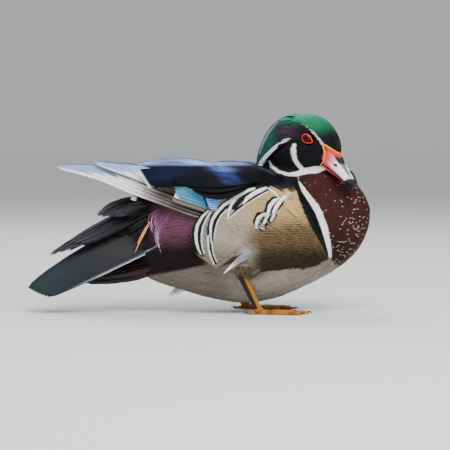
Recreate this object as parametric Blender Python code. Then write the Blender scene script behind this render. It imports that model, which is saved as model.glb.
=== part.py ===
"""A life-size drake wood duck, standing with its neck drawn in and its head turned to its right.

The body faces +X, its left side is +Y and the floor is Z = 0. Sizes in the tables are millimetres.
"""

import math

import bmesh
import bpy
import numpy as np
from mathutils import Matrix, Vector

MM = 0.001
GAP = 0.35  # clearance between neighbouring nodes
CENTRE_X = -36.5  # the tables' X at the middle of the whole bird, which goes to the origin

# Body: (x, top, bottom, half width) from the tail root to the breast
TORSO = (
    (-108, 100, 55, 8),
    (-102, 108, 46, 16),
    (-90, 118, 35, 25),
    (-72, 128, 27, 34),
    (-48, 137, 19.5, 42),
    (-20, 143, 12, 47),
    (8, 145, 8.2, 49.5),
    (38, 145, 12, 49),
    (66, 143, 23, 46),
    (92, 139, 36, 40),
    (110, 134, 48, 33),
    (123, 127, 61, 25.5),
    (131.5, 117, 76, 17),
    (135.3, 108, 90, 9),
)
BODY_SQUARE = 0.88  # under 1 fills out the corners of a cross-section
TORSO_ROUND = 22
TORSO_LONG = 21

NECK_CENTRE = (86, 0, 130)
NECK_RADII = (38, 29, 22)

# Head, in its own frame: forward, side and up from the middle of the skull
HEAD_AT = (73, -8, 170)
HEAD_TURN = 33.0  # degrees to the bird's right
HEAD = (
    (-41, 3, -24, 8),
    (-36, 13, -30, 14),
    (-29, 21, -34, 18),
    (-20, 26.5, -35.5, 20.5),
    (-10, 29, -35.5, 21.2),
    (1, 29.4, -34, 20.6),
    (12, 27.6, -31, 18.8),
    (21, 23, -27.5, 15.8),
    (28.4, 16, -23, 12.4),
    (33.8, 8, -19.5, 9.4),
    (36.6, 0, -17.5, 6.6),
    (37.8, -7, -15.5, 3.4),
)
HEAD_ROUND = 20
HEAD_LONG = 15
CREST = (
    (-62, -20, -24.5, 2.6),
    (-59, -12.5, -25.5, 4.6),
    (-54, -2.5, -26.5, 7.6),
    (-48, 7.5, -28, 10.6),
    (-40, 16.5, -30, 13.6),
    (-31, 22.8, -31.5, 17),
    (-22, 26.8, -32, 19.6),
)
EYE_AT = (10.8, 15.0, 3)
EYE_RADIUS = 5.2
LID_RADIUS = 5.3
LID_THICK = 1.0

# Bill, in the head's frame: its axis starts inside the face and slopes down
BILL_START = (26, -14)
BILL_SLOPE = 46.0
BILL_UPPER = (
    (-11, 8.6, -4, 9.5),
    (-5, 9.4, -6.5, 12),
    (1, 8.8, -8.4, 12.4),
    (8, 7.2, -7.4, 10.9),
    (16, 5, -5.8, 9.2),
    (24, 3.4, -4.2, 8.4),
    (32, 2.5, -2.9, 8.2),
    (38, 2.3, -2.6, 7.6),
    (42, 1.4, -2.8, 5.4),
    (44.2, -0.4, -3, 2.6),
)
BILL_SQUARE = 0.7
BILL_LOWER = (
    (-2, -9.4, -12.2, 8.4),
    (8, -8.1, -11.2, 8.6),
    (16, -6.5, -9.2, 7.6),
    (24, -4.9, -7.2, 7),
    (32, -3.6, -5.4, 6.8),
    (37, -3.4, -4.8, 5.6),
    (40, -3.6, -4.6, 3.4),
)
NOSTRIL_AT = (13.5, 8.6, 2.2)
NOSTRIL_RADII = (3.0, 1.9, 1.3)

VANE_THICK = 0.7
VANE_TIP_THICK = 0.5

RIGHT = -1
LEFT = 1
SIDES = (("right", RIGHT), ("left", LEFT))

# Flank: upper and lower borders on the body's side, as (x, z), and its feathers
FLANK_XS = (-38, 93, 11)
FLANK_COLUMNS = 5
FLANK_TOP = ((-38, 79), (-34, 86), (-27, 93), (-15, 100), (0, 107), (15, 114), (30, 117), (45, 116), (62, 121),
             (70, 111), (80, 89), (93, 61))
FLANK_BOTTOM = ((-38, 73), (-33, 63), (-26, 55), (-17, 49), (0, 46), (25, 45), (53, 48), (75, 51), (93, 57))
FLANK_THICK = 4.6
FLANK_EDGE = 1.4
FLANK_TIPS = ((36, 121), (23, 122), (10, 118), (-3, 113), (-15, 107), (-26, 101), (-35, 92),
              (-41, 81), (-41, 69), (-36, 58), (-24, 49))
FLANK_TIP_HEIGHTS = (4.9, 5.9)
FLANK_VANE = 7.2
INNER_VANES = (((66, 100), (52, 115)), ((58, 94), (41, 110)), ((48, 86), (30, 103)), ((40, 78), (21, 92)))
INNER_VANE = 6.2

# Wing: the borders of the folded arm, then root and tip of the first feather of each group and the step to the next
WING_BOTTOM = ((-60, 103), (-50, 99), (-42, 95.5), (-38, 94), (-30, 96), (-15, 103), (0, 110), (15, 117),
               (30, 120), (45, 119), (62, 125))
WING_TOP = ((-60, 0.5), (8, 0.5), (24, 9), (40, 25), (62, 37))
WING_XS = (-60, 62, 9)
WING_COLUMNS = 5
WING_EDGE = 1.2
WING_THICK = 5.4
HAND_AT = (-42, 104)
HAND_RADII = (12, 4.2, 8.5)
HAND_TURN = 28
VANE_LIFT = 1.1  # from one feather of a tier to the next
PRIMARIES = 6
PRIMARY_ROOT = (-37, 99)
PRIMARY_ROOT_STEP = (-1, 2.2)
PRIMARY_MIDDLE = (-100, 41, 121)
PRIMARY_MIDDLE_STEP = (3, -0.8, 2.6)
PRIMARY_TIP = (-176, 15, 141.5)
PRIMARY_TIP_STEP = (9.6, -0.6, 0.6)
PRIMARY_VANE = 6.2
SECONDARIES = 4
SECONDARY_ROOT = (-20.5, 113.3)
SECONDARY_ROOT_STEP = (2, 3)
SECONDARY_TIP = (-62, 108)
SECONDARY_TIP_STEP = (1.5, 4.4)
SECONDARY_HEIGHTS = (3.4, 8.6)
SECONDARY_VANE = 6.0
TERTIAL_ROOTS = ((-18, 128), (-18, 133.5), (-18, 139))
TERTIAL_TIPS = ((-91, 31, 133), (-94.5, 21.2, 141.4), (-86, 11.4, 149.8))
TERTIAL_NORMALS = ((0, 0.9, 0.45), (0, 0.58, 0.75), (0, 0.26, 1.05))
TERTIAL_RISES = (7, 8, 9)
TERTIAL_VANES = (9, 8, 7)
SCAPULAR_ROOTS = ((32, 131), (30, 138), (6, 125), (4, 134))
SCAPULAR_REACH = (-38, -4)
SCAPULAR_HEIGHTS = (2.8, 6.8)
SCAPULAR_VANE = 6.6

# Crest: for each layer where its feathers start and end along the head, and their angles round it
CREST_LAYERS = ((5.6, 0.0, (58, 30, 4)), (6.0, 1.3, (74, 43, 16)))
CREST_SPREAD = 0.25
CREST_SINK = 1.6
CREST_RISE = (-1.9, 1.7)
CREST_LIFT = 1.15
CREST_SWING = 8
CREST_VANE = 4.6

# Tail and its coverts, with points as (x, to the side, z)
TAIL_AT = (-108, 0, 76)
TAIL_RADII = (19, 13.5, 25)
TAIL_VANES = 6
TAIL_VANE = 8.2
UPPER_AT = (-97, 0, 108)
UPPER_RADII = (16, 15, 9)
UPPER_TURN = -38
UPPER_VANES = (
    ((-98, 4, 108), (-140, 6, 92), (-184, 5, 59), 7.0),
    ((-98, 9, 104), (-136, 13, 85), (-172, 13, 59), 7.0),
    ((-96, 11, 100), (-128, 18, 82), (-158, 20, 62), 7.0),
    ((-92, 5, 113), (-116, 9, 110), (-138, 9, 96), 7.5),
    ((-92, 11, 108), (-110, 17, 104), (-130, 18, 92), 7.5),
)
UPPER_NORMAL = (0.35, 0.6, 0.75)
UNDER_AT = (-101, 0, 42)
UNDER_RADII = (20, 13, 9)
UNDER_TURN = -14
UNDER_VANES = (
    ((-98, 4, 38), (-124, 6, 32), (-148, 5, 31), 6.5),
    ((-98, 9, 42), (-124, 15, 37), (-137, 13, 35), 6.5),
)

UNDER_NORMAL = (0, 0.5, -0.85)

# Legs and feet, with the left leg set back as in the photo
LEG_TOP = (8, 36.5, 36)
ANKLE = (23, 33.5, 5.5)
FAR_LEG_BACK = 12
SHANK_RADIUS = 4.1
SHANK_WAIST = 0.9
THIGH_RADII = (15, 6.5, 12)
ANKLE_RADII = (5, 4.4, 4.1)
TOE_ANGLES = (-24, 0, 20)
TOE_LENGTHS = (44, 50, 40)
TOE_SIZE = (4.6, 4.4)
HIND_TOE_SIZE = (3.4, 3.4)
HIND_TOE_LENGTH = 13
FOOT_TURN = 8
WEB_BOTTOM = 0.1
WEB_TOP = 1.3
WEB_REACH = (0.93, 0.84)


def curve_value(rows, t):
    """The row of numbers at t on a smooth curve through the rows, where t counts rows."""
    last = len(rows) - 1
    i = min(max(int(math.floor(t)), 0), last - 1)
    f = t - i
    p1, p2 = np.array(rows[i], float), np.array(rows[i + 1], float)
    p0 = np.array(rows[i - 1], float) if i > 0 else 2 * p1 - p2
    p3 = np.array(rows[i + 2], float) if i + 2 <= last else 2 * p2 - p1
    return 0.5 * (2 * p1 + (p2 - p0) * f + (2 * p0 - 5 * p1 + 4 * p2 - p3) * f**2
                  + (3 * p1 - p0 - 3 * p2 + p3) * f**3)


def line_value(points, x):
    """The second number at x on a line through (x, value) points."""
    xs, values = zip(*points)
    return float(np.interp(x, xs, values))


def section_at(rows, x):
    """How far along the rows the section at x lies."""
    low, high = 0.0, len(rows) - 1.0
    for _ in range(40):
        middle = (low + high) / 2
        if curve_value(rows, middle)[0] < x:
            low = middle
        else:
            high = middle
    return (low + high) / 2


def signed_power(value, power):
    return math.copysign(abs(value) ** power, value)


def shell_point(rows, t, angle, side):
    """A point on a lofted body: angle is -90 degrees at the keel, 0 at the side and 90 at the back."""
    x, top, bottom, width = curve_value(rows, t)
    power = BILL_SQUARE if rows is BILL_UPPER else BODY_SQUARE
    y = side * width * signed_power(math.cos(angle), power)
    z = (top + bottom) / 2 + (top - bottom) / 2 * signed_power(math.sin(angle), power)
    return np.array((x, y, z))


def unit(vector):
    vector = np.asarray(vector, float)
    return vector / np.linalg.norm(vector)


def shell_normal(rows, t, angle, side):
    """The outward normal of the lofted body."""
    step = 0.01
    limit = math.pi / 2 - 0.02
    angle = min(max(angle, -limit), limit)
    t = min(max(t, step), len(rows) - 1 - step)
    along = shell_point(rows, t + step, angle, side) - shell_point(rows, t - step, angle, side)
    around = shell_point(rows, t, angle + step, side) - shell_point(rows, t, angle - step, side)
    return unit(np.cross(around, along)) * side


def torso_angle(t, z):
    """The angle at which the body's side is at height z."""
    _, top, bottom, _ = curve_value(TORSO, t)
    sine = signed_power((z - (top + bottom) / 2) / ((top - bottom) / 2), 1 / BODY_SQUARE)
    return math.asin(min(max(sine, -0.9999), 0.9999))


def torso_place(x, z, side, height):
    """A point at height above the body's side at (x, z), and the normal there."""
    t = section_at(TORSO, x)
    angle = torso_angle(t, z)
    normal = shell_normal(TORSO, t, angle, side)
    return shell_point(TORSO, t, angle, side) + normal * height, normal


def finish(name, colour, roughness, metallic=0.0):
    """A material for one sub-part."""
    material = bpy.data.materials.new(name)
    material.use_nodes = True
    shader = material.node_tree.nodes["Principled BSDF"]
    shader.inputs["Base Color"].default_value = (*colour, 1)
    shader.inputs["Roughness"].default_value = roughness
    shader.inputs["Metallic"].default_value = metallic
    return material


def solid(name, points, faces, material=None):
    """An object from points in millimetres and faces of a closed surface, with its faces turned outward."""
    mesh = bpy.data.meshes.new(name)
    shape = bmesh.new()
    vertices = [shape.verts.new(Vector(tuple(point)) * MM) for point in points]
    for face in faces:
        shape.faces.new([vertices[i] for i in face])
    bmesh.ops.recalc_face_normals(shape, faces=shape.faces)
    shape.to_mesh(mesh)
    shape.free()
    piece = bpy.data.objects.new(name, mesh)
    bpy.context.scene.collection.objects.link(piece)
    if material:
        mesh.materials.append(material)
    return piece


def ring_faces(rings, around):
    """Quads between neighbouring rings of points, and a fan of triangles to a pole at each end."""
    faces = []
    for i in range(rings - 1):
        for j in range(around):
            k = (j + 1) % around
            faces.append((i * around + j, i * around + k, (i + 1) * around + k, (i + 1) * around + j))
    first, last = rings * around, rings * around + 1
    end = (rings - 1) * around
    for j in range(around):
        k = (j + 1) % around
        faces.append((first, k, j))
        faces.append((last, end + j, end + k))
    return faces


def lofted(name, rows, long, around, first_pole, last_pole, place=None, height=0.0, material=None):
    """A closed body through the rows; place turns its points into the bird's frame."""
    points = []
    for i in range(long):
        t = (len(rows) - 1) * i / (long - 1)
        for j in range(around):
            turn = 2 * math.pi * (j + 0.5) / around
            side = RIGHT if math.cos(turn) < 0 else LEFT
            angle = math.asin(math.sin(turn))
            point = shell_point(rows, t, angle, side)
            if height:
                point = point + shell_normal(rows, t, angle, side) * height
            points.append(point)
    points.append(np.array(first_pole, float) - (height, 0, 0))
    points.append(np.array(last_pole, float) + (height, 0, 0))
    if place:
        points = [place(point) for point in points]
    return solid(name, points, ring_faces(long, around), material)


def ball(name, centre, radii, turn=None, around=20, long=12, material=None):
    """An ellipsoid, turned by a matrix about its centre."""
    piece = solid(name, *ball_mesh(around, long), material)
    move = Matrix.Translation(Vector(tuple(centre)) * MM)
    scale = Matrix.Diagonal((*radii, 1))
    piece.data.transform(move @ (turn or Matrix.Identity(4)) @ scale)
    return piece


def ball_mesh(around, long):
    points = []
    for i in range(1, long):
        polar = math.pi * i / long
        for j in range(around):
            turn = 2 * math.pi * j / around
            points.append((math.sin(polar) * math.cos(turn), math.sin(polar) * math.sin(turn), math.cos(polar)))
    points.append((0, 0, 1))
    points.append((0, 0, -1))
    return points, ring_faces(long - 1, around)


def slab(name, xs, low, high, inner, outer, side, columns, material=None):
    """A plate over the body's side between two borders, both given as angles at x."""
    points = []
    for layer in (inner, outer):
        for i, x in enumerate(xs):
            t = section_at(TORSO, x)
            for j in range(columns):
                v = j / (columns - 1)
                angle = low(x, t) + (high(x, t) - low(x, t)) * v
                normal = shell_normal(TORSO, t, angle, side)
                height = layer(i / (len(xs) - 1), v)
                points.append(shell_point(TORSO, t, angle, side) + normal * height)
    rows = len(xs)
    size = rows * columns
    faces = []
    for i in range(rows - 1):
        for j in range(columns - 1):
            a, b = i * columns + j, (i + 1) * columns + j
            for base in (0, size):
                faces.append((base + a, base + a + 1, base + b + 1))
                faces.append((base + a, base + b + 1, base + b))
    border = [j for j in range(columns)]
    border += [i * columns + columns - 1 for i in range(1, rows)]
    border += [(rows - 1) * columns + j for j in range(columns - 2, -1, -1)]
    border += [i * columns for i in range(rows - 2, 0, -1)]
    for a, b in zip(border, border[1:] + border[:1]):
        faces.append((a, b, size + b))
        faces.append((a, size + b, size + a))
    return solid(name, points, faces, material)


def blade(path, normals, half_widths):
    """A feather's vane: a thin strip along the path, facing along the normals."""
    path = [np.asarray(point, float) for point in path]
    last = len(path) - 1
    points = []
    for i, point in enumerate(path):
        along = unit(path[min(i + 1, last)] - path[max(i - 1, 0)])
        normal = np.asarray(normals[i], float)
        normal = unit(normal - along * normal.dot(along))
        across = np.cross(along, normal) * half_widths[i]
        half = normal * (VANE_THICK / 2 + (VANE_TIP_THICK - VANE_THICK) / 2 * i / last)
        points += [point - across + half, point + across + half, point - across - half, point + across - half]
    faces = []
    for i in range(last):
        a = 4 * i
        b = a + 4
        for near, far in ((0, 1), (2, 3), (0, 2), (1, 3)):
            faces.append((a + near, a + far, b + far))
            faces.append((a + near, b + far, b + near))
    for a in (0, 4 * last):
        faces.append((a, a + 1, a + 3))
        faces.append((a, a + 3, a + 2))
    return solid("vane", points, faces)


def vane_widths(half_width, steps, root=0.55, tip=0.22, full=0.65):
    """Half widths from a narrow root to the full width and a rounded tip."""
    widths = []
    for i in range(steps + 1):
        t = i / steps
        if t <= full:
            widths.append(half_width * (root + (1 - root) * math.sin(math.pi / 2 * t / full)))
        else:
            f = (t - full) / (1 - full)
            widths.append(half_width * (tip + (1 - tip) * math.sqrt(max(0.0, 1 - f * f))))
    return widths


def free_vane(root, middle, tip, root_normal, tip_normal, half_width, steps=4, root_share=0.55, tip_share=0.22):
    """A vane along a bent line from its root past a middle point to its tip."""
    root, middle, tip = (np.asarray(point, float) for point in (root, middle, tip))
    path = []
    normals = []
    for i in range(steps + 1):
        t = i / steps
        path.append(root * (1 - t) ** 2 + middle * 2 * t * (1 - t) + tip * t * t)
        normals.append(np.asarray(root_normal, float) * (1 - t) + np.asarray(tip_normal, float) * t)
    return blade(path, normals, vane_widths(half_width, steps, root_share, tip_share))


def lying_vane(root, tip, side, heights, half_width, steps=3, sag=0.0):
    """A vane that follows the body's side from (x, z) to (x, z), at heights above it."""
    path = []
    normals = []
    for i in range(steps + 1):
        t = i / steps
        x = root[0] + (tip[0] - root[0]) * t
        z = root[1] + (tip[1] - root[1]) * t + sag * math.sin(math.pi * t)
        point, normal = torso_place(x, z, side, heights[0] + (heights[1] - heights[0]) * t)
        path.append(point)
        normals.append(normal)
    return blade(path, normals, vane_widths(half_width, steps, 0.6, 0.45, 0.6))


def settled(piece):
    """Swaps the piece's modifiers for the mesh that they make."""
    bpy.context.view_layer.update()
    graph = bpy.context.evaluated_depsgraph_get()
    mesh = bpy.data.meshes.new_from_object(piece.evaluated_get(graph))
    piece.modifiers.clear()
    piece.data = mesh
    return piece


def join(body, forms):
    """Fuses closed forms with the body and keeps one closed surface."""
    group = bpy.data.collections.new(body.name + "_forms")
    bpy.context.scene.collection.children.link(group)
    for form in forms:
        bpy.context.scene.collection.objects.unlink(form)
        group.objects.link(form)
    fuse = body.modifiers.new("fuse", "BOOLEAN")
    fuse.operation = "UNION"
    fuse.operand_type = "COLLECTION"
    fuse.collection = group
    fuse.solver = "MANIFOLD"
    settled(body)
    for form in forms:
        bpy.data.objects.remove(form)
    bpy.data.collections.remove(group)
    return keep_largest(body)


def cut(body, cutters):
    """Cuts the cutters out of the body, then removes them."""
    for cutter in cutters:
        cutter.hide_render = True
        cutter.display_type = "WIRE"
        less = body.modifiers.new("less", "BOOLEAN")
        less.operation = "DIFFERENCE"
        less.object = cutter
        less.solver = "MANIFOLD"
        settled(body)
        bpy.data.objects.remove(cutter)
    return keep_largest(body)


def keep_largest(body):
    """Leaves only the closed surface that holds the most."""
    shape = bmesh.new()
    shape.from_mesh(body.data)
    left = set(shape.faces)
    surfaces = []
    while left:
        surface = {left.pop()}
        edge_of = list(surface)
        while edge_of:
            face = edge_of.pop()
            for edge in face.edges:
                for other in edge.link_faces:
                    if other in left:
                        left.discard(other)
                        surface.add(other)
                        edge_of.append(other)
        volume = 0.0
        for face in surface:
            corners = [corner.co for corner in face.verts]
            for a, b in zip(corners[1:], corners[2:]):
                volume += corners[0].dot(a.cross(b))
        surfaces.append((volume, surface))
    largest = max(surfaces, key=lambda item: item[0])[1]
    dropped = [face for face in shape.faces if face not in largest]
    bmesh.ops.delete(shape, geom=dropped, context="FACES")
    shape.to_mesh(body.data)
    shape.free()
    return body


def room_of(piece):
    """Turns a piece into the room that its neighbours leave it."""
    room = swollen(piece)
    bpy.data.objects.remove(piece)
    return room


def swollen(piece, gap=GAP):
    """A copy of a smooth closed piece, grown by the gap all over."""
    copy = bpy.data.objects.new(piece.name + "_room", piece.data.copy())
    bpy.context.scene.collection.objects.link(copy)
    shape = bmesh.new()
    shape.from_mesh(copy.data)
    shape.normal_update()
    moves = [vertex.normal * gap * MM * vertex.calc_shell_factor() for vertex in shape.verts]
    for vertex, move in zip(shape.verts, moves):
        vertex.co += move
    shape.to_mesh(copy.data)
    shape.free()
    return copy


def head_place(point):
    """From the head's frame to the bird's."""
    forward, across, up = point
    turn = math.radians(HEAD_TURN)
    x = HEAD_AT[0] + forward * math.cos(turn) + across * math.sin(turn)
    y = HEAD_AT[1] - forward * math.sin(turn) + across * math.cos(turn)
    return np.array((x, y, HEAD_AT[2] + up))


def bill_place(point):
    """From the bill's frame (along its axis, across, above it) to the bird's."""
    along, across, above = point
    slope = math.radians(BILL_SLOPE)
    forward = BILL_START[0] + along * math.cos(slope) + above * math.sin(slope)
    up = BILL_START[1] - along * math.sin(slope) + above * math.cos(slope)
    return head_place((forward, across, up))


def make_torso():
    return lofted("torso", TORSO, TORSO_LONG, TORSO_ROUND, (-110, 0, 77), (136, 0, 100),
                  material=finish("breast and belly", (0.24, 0.07, 0.06), 0.6))


def make_head():
    face = finish("head feathers", (0.03, 0.12, 0.08), 0.35)
    return lofted("head", HEAD, HEAD_LONG, HEAD_ROUND, (-42.5, 0, -10), (37.4, 0, -11), head_place, material=face)


def eye_ball(name, side, radius, material=None):
    place = head_place((EYE_AT[0], side * EYE_AT[1], EYE_AT[2]))
    return ball(name, place, (radius, radius, radius), around=12, long=8, material=material)


def lid(side):
    """The fleshy ring round the eye."""
    turn = Matrix.Rotation(-math.radians(HEAD_TURN), 4, "Z")
    around, tube = 14, 5
    points = []
    for i in range(around):
        a = 2 * math.pi * i / around
        for j in range(tube):
            b = 2 * math.pi * j / tube
            reach = LID_RADIUS + LID_THICK * math.cos(b)
            stretch = 1.12 if math.cos(a) > 0 else 1.0
            spot = (EYE_AT[0] + reach * math.cos(a) * stretch,
                    side * (EYE_AT[1] + 2.9 + LID_THICK * math.sin(b)),
                    EYE_AT[2] + reach * math.sin(a))
            points.append(head_place(spot))
    faces = []
    for i in range(around):
        for j in range(tube):
            k, m = (i + 1) % around, (j + 1) % tube
            faces.append((i * tube + j, i * tube + m, k * tube + m, k * tube + j))
    return solid("lid", points, faces)


def make_neck():
    return ball("neck", NECK_CENTRE, NECK_RADII, around=20, long=12,
                material=finish("neck feathers", (0.22, 0.06, 0.06), 0.6))


def make_bill(name, rows, around, long, first_pole, last_pole, material):
    return lofted(name, rows, long, around, first_pole, last_pole, bill_place, material=material)


def top_angle(t, y):
    """The angle at which the body's upper side is y from the middle plane."""
    width = curve_value(TORSO, t)[3]
    return math.acos(min((y / width) ** (1 / BODY_SQUARE), 1.0))


def flank_low(x, t):
    return torso_angle(t, line_value(FLANK_BOTTOM, x))


def flank_high(x, t):
    return torso_angle(t, line_value(FLANK_TOP, x))


def wing_low(x, t):
    return torso_angle(t, line_value(WING_BOTTOM, x))


def wing_high(x, t):
    return top_angle(t, line_value(WING_TOP, x))


def bulge(u, v, edge, middle):
    """A height that is low at the borders of a plate and full inside."""
    rise = min(1, math.sin(math.pi * u) * 2.2) * min(1, math.sin(math.pi * v) * 1.6)
    return edge + (middle - edge) * rise ** 0.6


def make_flank(word, side):
    """The long side feathers that lie over the wing's lower edge, barred at their upper and rear ends."""
    buff = finish("flank feathers " + word, (0.55, 0.45, 0.28), 0.7)
    flank = slab("flank_" + word, np.linspace(*FLANK_XS), flank_low, flank_high, lambda u, v: GAP,
                 lambda u, v: bulge(u, v, FLANK_EDGE, FLANK_THICK), side, FLANK_COLUMNS, buff)
    vanes = []
    for i, tip in enumerate(FLANK_TIPS):
        f = i / (len(FLANK_TIPS) - 1)
        root = (tip[0] + 20 + 8 * math.sin(math.pi * f), tip[1] - 20 + 26 * f)
        vanes.append(lying_vane(root, tip, side, (2.2, FLANK_TIP_HEIGHTS[i % 2]), FLANK_VANE, sag=1.5))
    for root, tip in INNER_VANES:
        vanes.append(lying_vane(root, tip, side, (3.0, FLANK_THICK + 1.0), INNER_VANE))
    join(flank, vanes)
    return cut(flank, [swollen(torso)])


def make_arm(name, side, material=None):
    """The folded wing's arm, shoulder and back feathers as one curved plate over the body."""
    return slab(name, np.linspace(*WING_XS), wing_low, wing_high, lambda u, v: GAP,
                lambda u, v: WING_EDGE + (WING_THICK - WING_EDGE) * min(1, v * 2.2) * min(1, (1 - u) * 2.2) ** 0.6,
                side, WING_COLUMNS, material)


def make_wing(word, side):
    """The folded wing: shoulder and scapulars, then the flight feathers in tiers."""
    wing = make_arm("wing_" + word, side, finish("wing " + word, (0.03, 0.05, 0.12), 0.35))
    hand_at, hand_normal = torso_place(*HAND_AT, side, 3.4)
    forms = [ball("hand", hand_at, HAND_RADII, Matrix.Rotation(side * math.radians(HAND_TURN), 4, "X"), 10, 6)]
    mirror = np.array((1, side, 1))
    primary_normal = unit((0.1, side * 0.72, 0.7))
    for i in range(PRIMARIES):
        x, z = np.array(PRIMARY_ROOT) + np.array(PRIMARY_ROOT_STEP) * i
        root, normal = torso_place(x, z, side, 0.9 + VANE_LIFT * i)
        lift = primary_normal * VANE_LIFT * i
        middle = (np.array(PRIMARY_MIDDLE) + np.array(PRIMARY_MIDDLE_STEP) * i) * mirror + lift
        tip = (np.array(PRIMARY_TIP) + np.array(PRIMARY_TIP_STEP) * i) * mirror + lift
        forms.append(free_vane(root, middle, tip, normal, primary_normal, PRIMARY_VANE, 4, tip_share=0.3))
    for i in range(SECONDARIES):
        x, z = np.array(SECONDARY_ROOT) + np.array(SECONDARY_ROOT_STEP) * i
        root, normal = torso_place(x, z, side, SECONDARY_HEIGHTS[0] + VANE_LIFT * i)
        x, z = np.array(SECONDARY_TIP) + np.array(SECONDARY_TIP_STEP) * i
        tip, tip_normal = torso_place(x, z, side, SECONDARY_HEIGHTS[1] + VANE_LIFT * i)
        middle = (root + tip) / 2 + normal * 2.6
        forms.append(free_vane(root, middle, tip, normal, tip_normal, SECONDARY_VANE, 3, tip_share=0.55))
    for (x, z), tip, tip_normal, rise, half_width in zip(TERTIAL_ROOTS, TERTIAL_TIPS, TERTIAL_NORMALS,
                                                         TERTIAL_RISES, TERTIAL_VANES):
        root, normal = torso_place(x, z, side, 3.4)
        tip = np.array(tip) * mirror
        middle = (root + tip) / 2 + normal * rise
        forms.append(free_vane(root, middle, tip, normal, unit(tip_normal * mirror), half_width, 4, tip_share=0.5))
    for root in SCAPULAR_ROOTS:
        tip = (root[0] + SCAPULAR_REACH[0], root[1] + SCAPULAR_REACH[1])
        forms.append(lying_vane(root, tip, side, SCAPULAR_HEIGHTS, SCAPULAR_VANE))
    join(wing, forms)
    return cut(wing, [swollen(torso)])


def crest_place(t, angle, side, height):
    """A point at height above the crest's outline, in the bird's frame, and the normal there."""
    normal = shell_normal(CREST, t, angle, side)
    spot = shell_point(CREST, t, angle, side) + normal * height
    return head_place(spot), head_place(normal) - head_place((0, 0, 0))


def make_crest():
    """Long feathers from the crown that sweep back and hang behind the nape."""
    green = finish("crest", (0.02, 0.16, 0.09), 0.3)
    crest = lofted("crest", CREST[2:], 7, 12, (-55, 0, -16), (-20, 0, -2), head_place, -CREST_SINK, green)
    vanes = []
    last = len(CREST) - 1
    steps = 4
    for layer, (first, end, angles) in enumerate(CREST_LAYERS):
        for word, side in SIDES:
            for i, angle in enumerate(angles):
                path = []
                normals = []
                widths = []
                for k in range(steps + 1):
                    f = k / steps
                    t = min(first + (end + CREST_SPREAD * i - first) * f, last)
                    height = CREST_RISE[0] + CREST_RISE[1] * math.sin(math.pi / 2 * min(1, f * 1.6))
                    height += CREST_LIFT * layer
                    spot, normal = crest_place(t, math.radians(angle - CREST_SWING * f), side, height)
                    path.append(spot)
                    normals.append(normal)
                    widths.append(CREST_VANE * (1 - 0.55 * f**1.5))
                widths[-1] *= 0.3
                vanes.append(blade(path, normals, widths))
    return join(crest, vanes)


def make_tail():
    """The long fan of tail feathers, folded like a roof over the undertail."""
    black = finish("tail", (0.02, 0.025, 0.03), 0.45)
    tail = ball("tail", TAIL_AT, TAIL_RADII, None, 12, 8, black)
    vanes = []
    for word, side in SIDES:
        for i in range(TAIL_VANES):
            f = i / (TAIL_VANES - 1)
            normal = unit((0.45 - 0.25 * f, side * (0.35 + 0.6 * f), 0.85 - 0.6 * f))
            lift = normal * VANE_LIFT * (TAIL_VANES - i)
            root = np.array((-106, side * (2.5 + 9.5 * math.sin(f * math.pi / 2)), 94 - 34 * f))
            middle = np.array((-146, side * (6 + 17 * f), 66 - 24 * f)) + lift
            tip = np.array((-211 + 26 * f**1.2, side * (4 + 22 * f), 17 - 3 * f)) + lift
            vanes.append(free_vane(root, middle, tip, normal, normal, TAIL_VANE - 1.4 * f, 3, tip_share=0.35))
    join(tail, vanes)
    return cut(tail, [swollen(torso), upper_block("room", GAP)])


def upper_block(name, grow=0.0, material=None):
    """The mass over the rump that the upper tail coverts grow from."""
    radii = [radius + grow for radius in UPPER_RADII]
    return ball(name, UPPER_AT, radii, Matrix.Rotation(math.radians(UPPER_TURN), 4, "Y"), 12, 8, material)


def coverts(body, rows, way):
    """Adds the vanes of the rows to both sides of the body, facing way on the left."""
    vanes = []
    for word, side in SIDES:
        mirror = np.array((1, side, 1))
        for root, middle, tip, half_width in rows:
            spots = [np.array(spot) * mirror for spot in (root, middle, tip)]
            normal = unit(np.array(way) * mirror)
            vanes.append(free_vane(*spots, normal, normal, half_width, 3, tip_share=0.3))
    join(body, vanes)
    return cut(body, [swollen(torso)])


def make_upper_coverts():
    """Soft dark feathers over the rump and the long black ones above the tail."""
    black = finish("upper tail coverts", (0.02, 0.02, 0.025), 0.6)
    return coverts(upper_block("tail_coverts_upper", 0, black), UPPER_VANES, UPPER_NORMAL)


def make_under_coverts():
    """Soft brown-black feathers under the tail's root."""
    brown = finish("undertail coverts", (0.05, 0.03, 0.03), 0.8)
    turn = Matrix.Rotation(math.radians(UNDER_TURN), 4, "Y")
    return coverts(ball("tail_coverts_under", UNDER_AT, UNDER_RADII, turn, 12, 8, brown), UNDER_VANES, UNDER_NORMAL)


def leg_back(side):
    """How far the leg stands behind the right one."""
    return FAR_LEG_BACK if side == LEFT else 0


def ankle_ball(name, side, grow=0.0, material=None):
    radii = [radius + grow for radius in ANKLE_RADII]
    return ball(name, (ANKLE[0] - leg_back(side), side * ANKLE[1], 4.4), radii, None, 10, 6, material)


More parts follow.
